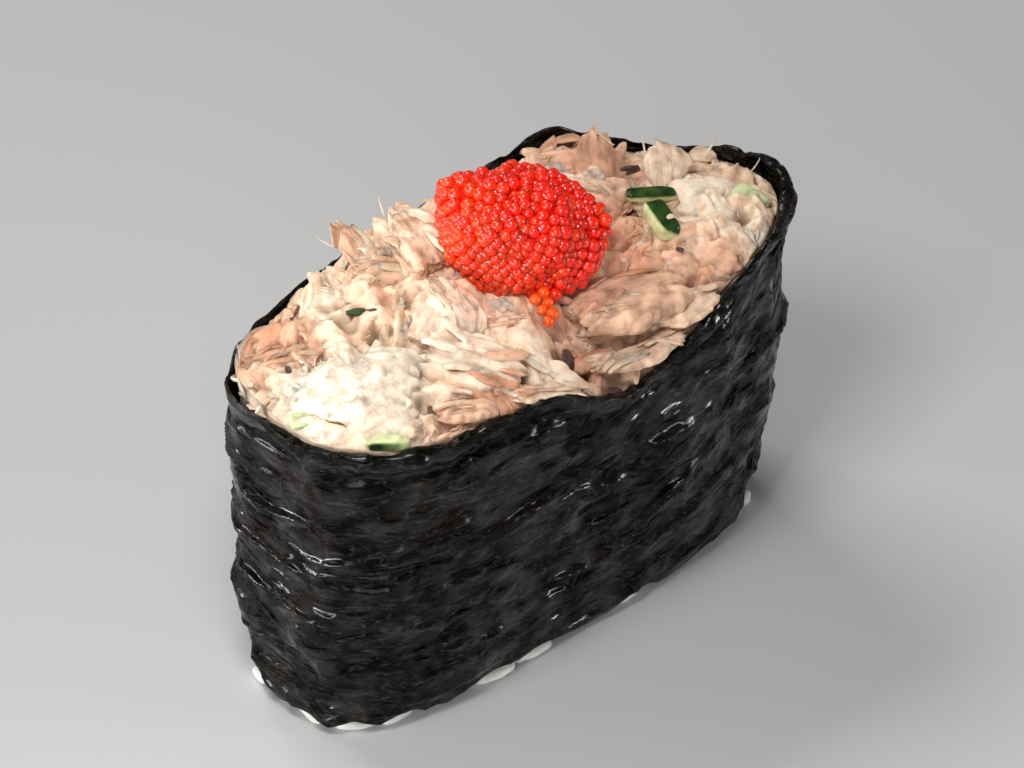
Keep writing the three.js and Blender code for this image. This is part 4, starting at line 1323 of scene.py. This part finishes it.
# %% The mound's form
ROE_HALF = np.array([7.1, 7.1, 5.7])
# Each row: a knob's direction round and up, how wide it is, and how far it stands out or in
ROE_KNOBS = ((2.1, 0.45, 0.45, 0.9), (-0.75, 0.25, 0.4, 0.5), (-0.2, 0.7, 0.35, -0.6),
             (-2.3, 0.0, 0.5, -0.7), (-1.2, -0.1, 0.4, 0.3), (1.2, 0.8, 0.4, 0.4),
             (-2.9, 0.5, 0.35, 0.2))


def roe_point(along, up, grow):
    """The mound's surface in a direction: a ball with low lumps and a few knobs, moved out by
    grow. Below its middle the sides go nearly straight down, as eggs pile up on their bed."""
    lump = (1 + 0.06 * np.cos(2 * (along + 0.75)) + 0.04 * np.sin(3 * along + 1)
            + 0.05 * np.sin(5 * along - 4 * up))
    reach = ROE_HALF * lump[..., None] + np.asarray(grow)[..., None]
    side = np.where(up < 0, np.cos(up) ** 0.45, np.cos(up))
    way = np.stack([side * np.cos(along), side * np.sin(along), np.sin(up)], -1)
    more = 0.45 * noise(way * 2.6 + 5, 97)
    for turn, rise, wide, out in ROE_KNOBS:
        ahead = np.array([np.cos(rise) * np.cos(turn), np.cos(rise) * np.sin(turn), np.sin(rise)])
        more = more + out * np.exp(-((way - ahead) ** 2).sum(-1) / wide ** 2)
    return ROE_CENTRE + (reach + more[..., None]) * way


# %% Where the eggs lie
EGG_RADIUS, EGG_NUDGE = 0.7, 0.38
GOLDEN_TURN = np.pi * (3 - np.sqrt(5))
TAIL = np.array([(-0.6, -5.6, 36.9), (-1.7, -5.7, 36.8), (-1.0, -6.6, 36.5), (-2.0, -6.9, 36.4),
                 (-1.5, -7.7, 36.1), (-2.4, -8.1, 36.0)])


def egg_layer(count, grow, loose, seed):
    """Eggs on an even spiral over the mound, each nudged a little, above the bed only."""
    k = np.arange(count)
    along, up = GOLDEN_TURN * k, np.arcsin(1 - (2 * k + 1) / count)
    places = roe_point(along, up, grow + loose * (hashed(k, 0, 0, seed) - 0.5))
    nudge = np.stack([hashed(k, i, 0, seed + 1) - 0.5 for i in range(3)], -1)
    places = places + EGG_NUDGE * nudge
    return places[places[:, 2] > ROE_BED + EGG_RADIUS * 0.9]


eggs = np.concatenate([egg_layer(520, grow=-0.75, loose=0.22, seed=91), TAIL])
print(len(eggs), "eggs")

# %% Roe eggs
EGG_GRID = (5, 8)
ROE_RED, ROE_ORANGE = linear(251, 34, 14), linear(252, 92, 20)
# Painted light: the mound is painted paler and more orange on the side that faces this way
ROE_PAINTED_LIGHT_SIDE, ROE_PAINTED_LIGHT_REACH = np.array([-0.73, 0.4, -0.55]), 7
TAIL_SMALLER = 0.88
in_tail = slice(-len(TAIL), None)
k = np.arange(len(eggs))
radius = EGG_RADIUS * mix(0.9, 1.06, hashed(k, 0, 0, 95))
radius[in_tail] *= TAIL_SMALLER
turns = turned(TURN * spread(k, 3), TURN * spread(k, 4), 0 * k)
points = lumps(eggs, radius[:, None] * np.ones(3), turns, *EGG_GRID)
painted_light_share = np.clip((eggs - ROE_CENTRE) @ ROE_PAINTED_LIGHT_SIDE / ROE_PAINTED_LIGHT_REACH, 0, 1)
tint = blended(0.35 * hashed(k, 0, 0, 96) ** 3 + 0.3 * painted_light_share, ROE_RED, ROE_ORANGE)
tint[in_tail] = ROE_ORANGE
make_piece("roe_eggs", points, repeated(tube_faces(*EGG_GRID), len(eggs), points.shape[1]), roe_material,
           "roe_mound", tint[:, None, :] + 0 * points)

# %% Roe filling
FILL_GRID = (23, 48)
FILL_INSET, FILL_POLE, FILL_OVER_BED = 0.88, 1.2, 0.35
ROE_DEEP = linear(240, 22, 10)
along = np.arange(FILL_GRID[1])[None] / FILL_GRID[1] * TURN
up = (np.arange(1, FILL_GRID[0] + 1)[:, None] / (FILL_GRID[0] + 1) - 0.5) * np.pi
ball = roe_point(along + 0 * up, up + 0 * along, -FILL_INSET + 0 * up * along).reshape(-1, 3)
pole = np.array([0, 0, ROE_HALF[2] - FILL_POLE])
ball = np.concatenate([ball, [ROE_CENTRE - pole, ROE_CENTRE + pole]])
ball[:, 2] = np.maximum(ball[:, 2], ROE_BED + FILL_OVER_BED)
make_piece("roe_filling", ball, tube_faces(*FILL_GRID), roe_material, "roe_mound",
           np.broadcast_to(ROE_DEEP, ball.shape))

# %% [markdown]
# ## Floor and light
#
# The floor is plain and pale. The key light is a soft box high up behind and to the left: it
# rakes over the heap and leaves the near wall, and the floor before it, in the food's own
# shadow. That matters for the nori, since a moist black sheet mirrors a bright pale floor and
# turns grey. A small light close above the left end whitens the mayonnaise and puts a point on
# each egg, and a weak one in front opens the shadows.
#
# The other lights are there for the nori. They are wide, low strips not far above the level of
# the table. A wet crease that runs level holds such a strip as a thin glint, where a tall soft
# box would spread into a haze. The world adds a little from all round.

# %% Floor
FLOOR_GREY, FLOOR_HALF = 0.56, 1.5
floor_material, tree, shader = new_material("pale_floor", Roughness=0.6)
shader.inputs["Base Color"].default_value = (*grey(FLOOR_GREY), 1)
corners = [(x * FLOOR_HALF, y * FLOOR_HALF, 0) for x, y in ((-1, -1), (1, -1), (1, 1), (-1, 1))]
floor_mesh = bpy.data.meshes.new("floor")
floor_mesh.from_pydata(corners, [], [(0, 1, 2, 3)])
floor_mesh.materials.append(floor_material)
floor = bpy.data.objects.new("floor", floor_mesh)
bpy.context.scene.collection.objects.link(floor)

# %% Lights
# Each row: a light's azimuth and elevation in degrees, its distance, width and height in
# metres, and its power in watts
LIGHTS = {"key": (180, 50, 0.8, 0.4, 0.25, 3.1), "near_top": (-62, 60, 0.16, 0.05, 0.05, 0.155),
          "front_fill": (-50, 30, 0.8, 0.3, 0.3, 0.8), "low_strip": (-86, 5, 0.8, 0.5, 0.05, 4.8),
          "low_strip_behind": (-132, 4, 0.8, 0.3, 0.03, 2.2),
          "right_strip": (40, 8, 0.8, 0.3, 0.04, 2.0)}
KEY_COLOUR = (1.0, 0.98, 0.95)


def soft_box(name, azimuth, elevation, distance, wide, high, watts):
    """A flat light at that bearing from the object, facing it."""
    light = bpy.data.lights.new(name, "AREA")
    light.shape = "RECTANGLE"
    light.size, light.size_y, light.energy = wide, high, watts
    box = bpy.data.objects.new(name, light)
    bpy.context.scene.collection.objects.link(box)
    azimuth, elevation = math.radians(azimuth), math.radians(elevation)
    box.location = middle + view_direction(azimuth, elevation) * distance
    box.rotation_euler = (math.pi / 2 - elevation, 0, azimuth)
    return light


for light_name, row in LIGHTS.items():
    soft_box(light_name, *row)
bpy.data.lights["key"].color = KEY_COLOUR
print("lights:", list(LIGHTS))

# %% World
WORLD_STRENGTH = 0.085
world = bpy.data.worlds.new("world")
bpy.context.scene.world = world
world.use_nodes = True
background = world.node_tree.nodes["Background"]
background.inputs["Color"].default_value = (1, 1, 1, 1)
background.inputs["Strength"].default_value = WORLD_STRENGTH
bpy.context.scene.view_settings.view_transform = "Standard"
